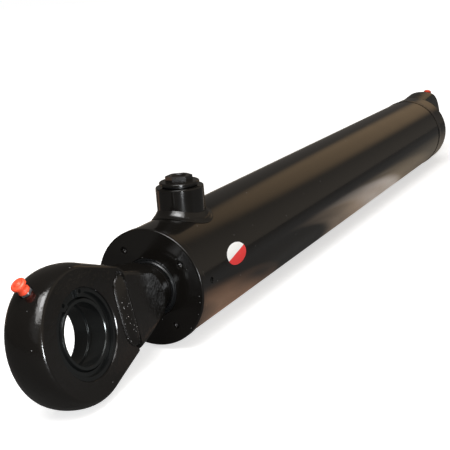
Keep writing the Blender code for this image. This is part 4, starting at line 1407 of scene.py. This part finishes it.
class SetStage(bpy.types.Operator):
    """Sets the floor, the lamps, the world and the camera of the studio"""

    bl_idname = "cylinder.set_stage"
    bl_label = "Studio"
    bl_options = {"REGISTER", "UNDO"}

    def execute(self, context):
        stage = context.scene.cylinder_stage
        half = 60.0
        bm = bmesh.new()
        bm.faces.new([bm.verts.new(corner) for corner in (
            (-half, -half, 0), (half, -half, 0), (half, half, 0), (-half, half, 0),
        )])
        floor = add_object("floor", bm)
        floor.data.materials.append(floor_material(tuple(context.scene.cylinder_finishes.floor)))

        lamp(
            "key", (-1.30, -0.38, 1.75), (-0.5, 0, 0.05), 1.7, 1.5,
            stage.key_power, (1.0, 0.99, 0.98),
        )
        lamp(
            "crown", (-1.13, -0.34, 1.72), (-0.65, 0, 0.1), 0.8, 0.7,
            stage.crown_power, (0.98, 0.99, 1.0),
        )
        lamp(
            "side", (-0.93, -0.46, 0.12), (-0.66, 0, 0.09), 0.12, 0.15,
            stage.side_power, (0.94, 0.97, 1.0),
        )

        scene = context.scene
        scene.world = studio_world(stage.world_strength)
        scene.view_settings.view_transform = "Standard"
        azimuth, elevation, roll = stage.camera_azimuth, stage.camera_elevation, stage.camera_roll
        ahead = Vector((
            math.cos(azimuth) * math.cos(elevation), math.sin(azimuth) * math.cos(elevation),
            math.sin(elevation),
        ))
        level = ahead.to_track_quat("-Z", "Y").to_matrix().to_4x4()
        data = bpy.data.cameras.new("camera")
        data.lens = stage.lens
        data.sensor_width = 36
        camera = linked("camera", data)
        turn = level @ Matrix.Rotation(roll, 4, "Z")
        camera.matrix_world = Matrix.Translation(stage.camera_place) @ turn
        scene.camera = camera
        return {"FINISHED"}


PIECES = (
    AddBarrel, AddCap, AddGland, AddRod, AddEyes, AddBearings, AddNipples, AddPorts, AddWelds,
    AddLabel, DressInnerPieces,
)


class CylinderPanel(bpy.types.Panel):
    """Lists the pieces of the cylinder and its settings"""

    bl_idname = "VIEW3D_PT_cylinder"
    bl_label = "Hydraulic cylinder"
    bl_space_type = "VIEW_3D"
    bl_region_type = "UI"
    bl_category = "Cylinder"

    def draw(self, context):
        scene = context.scene
        for settings in (scene.cylinder_sizes, scene.cylinder_finishes, scene.cylinder_stage):
            box = self.layout.box()
            for name in settings.bl_rna.properties.keys():
                if name not in ("name", "rna_type"):
                    box.prop(settings, name)
        for operator in (*PIECES, SetStage):
            self.layout.operator(operator.bl_idname)


CLASSES = (CylinderSizes, CylinderFinishes, StageSettings, *PIECES, SetStage, CylinderPanel)
SETTINGS = {
    "cylinder_sizes": CylinderSizes,
    "cylinder_finishes": CylinderFinishes,
    "cylinder_stage": StageSettings,
}


def register():
    """Adds the classes and the scene's settings."""
    for cls in CLASSES:
        bpy.utils.register_class(cls)
    for name, group in SETTINGS.items():
        setattr(bpy.types.Scene, name, PointerProperty(type=group))


def unregister():
    """Takes the scene's settings and the classes out again."""
    for name in SETTINGS:
        delattr(bpy.types.Scene, name)
    for cls in reversed(CLASSES):
        bpy.utils.unregister_class(cls)


def main():
    """Builds the studio and every piece."""
    register()
    bpy.ops.cylinder.set_stage()
    for operator in PIECES:
        getattr(bpy.ops.cylinder, operator.bl_idname.split(".")[1])()


if __name__ == "__main__":
    main()
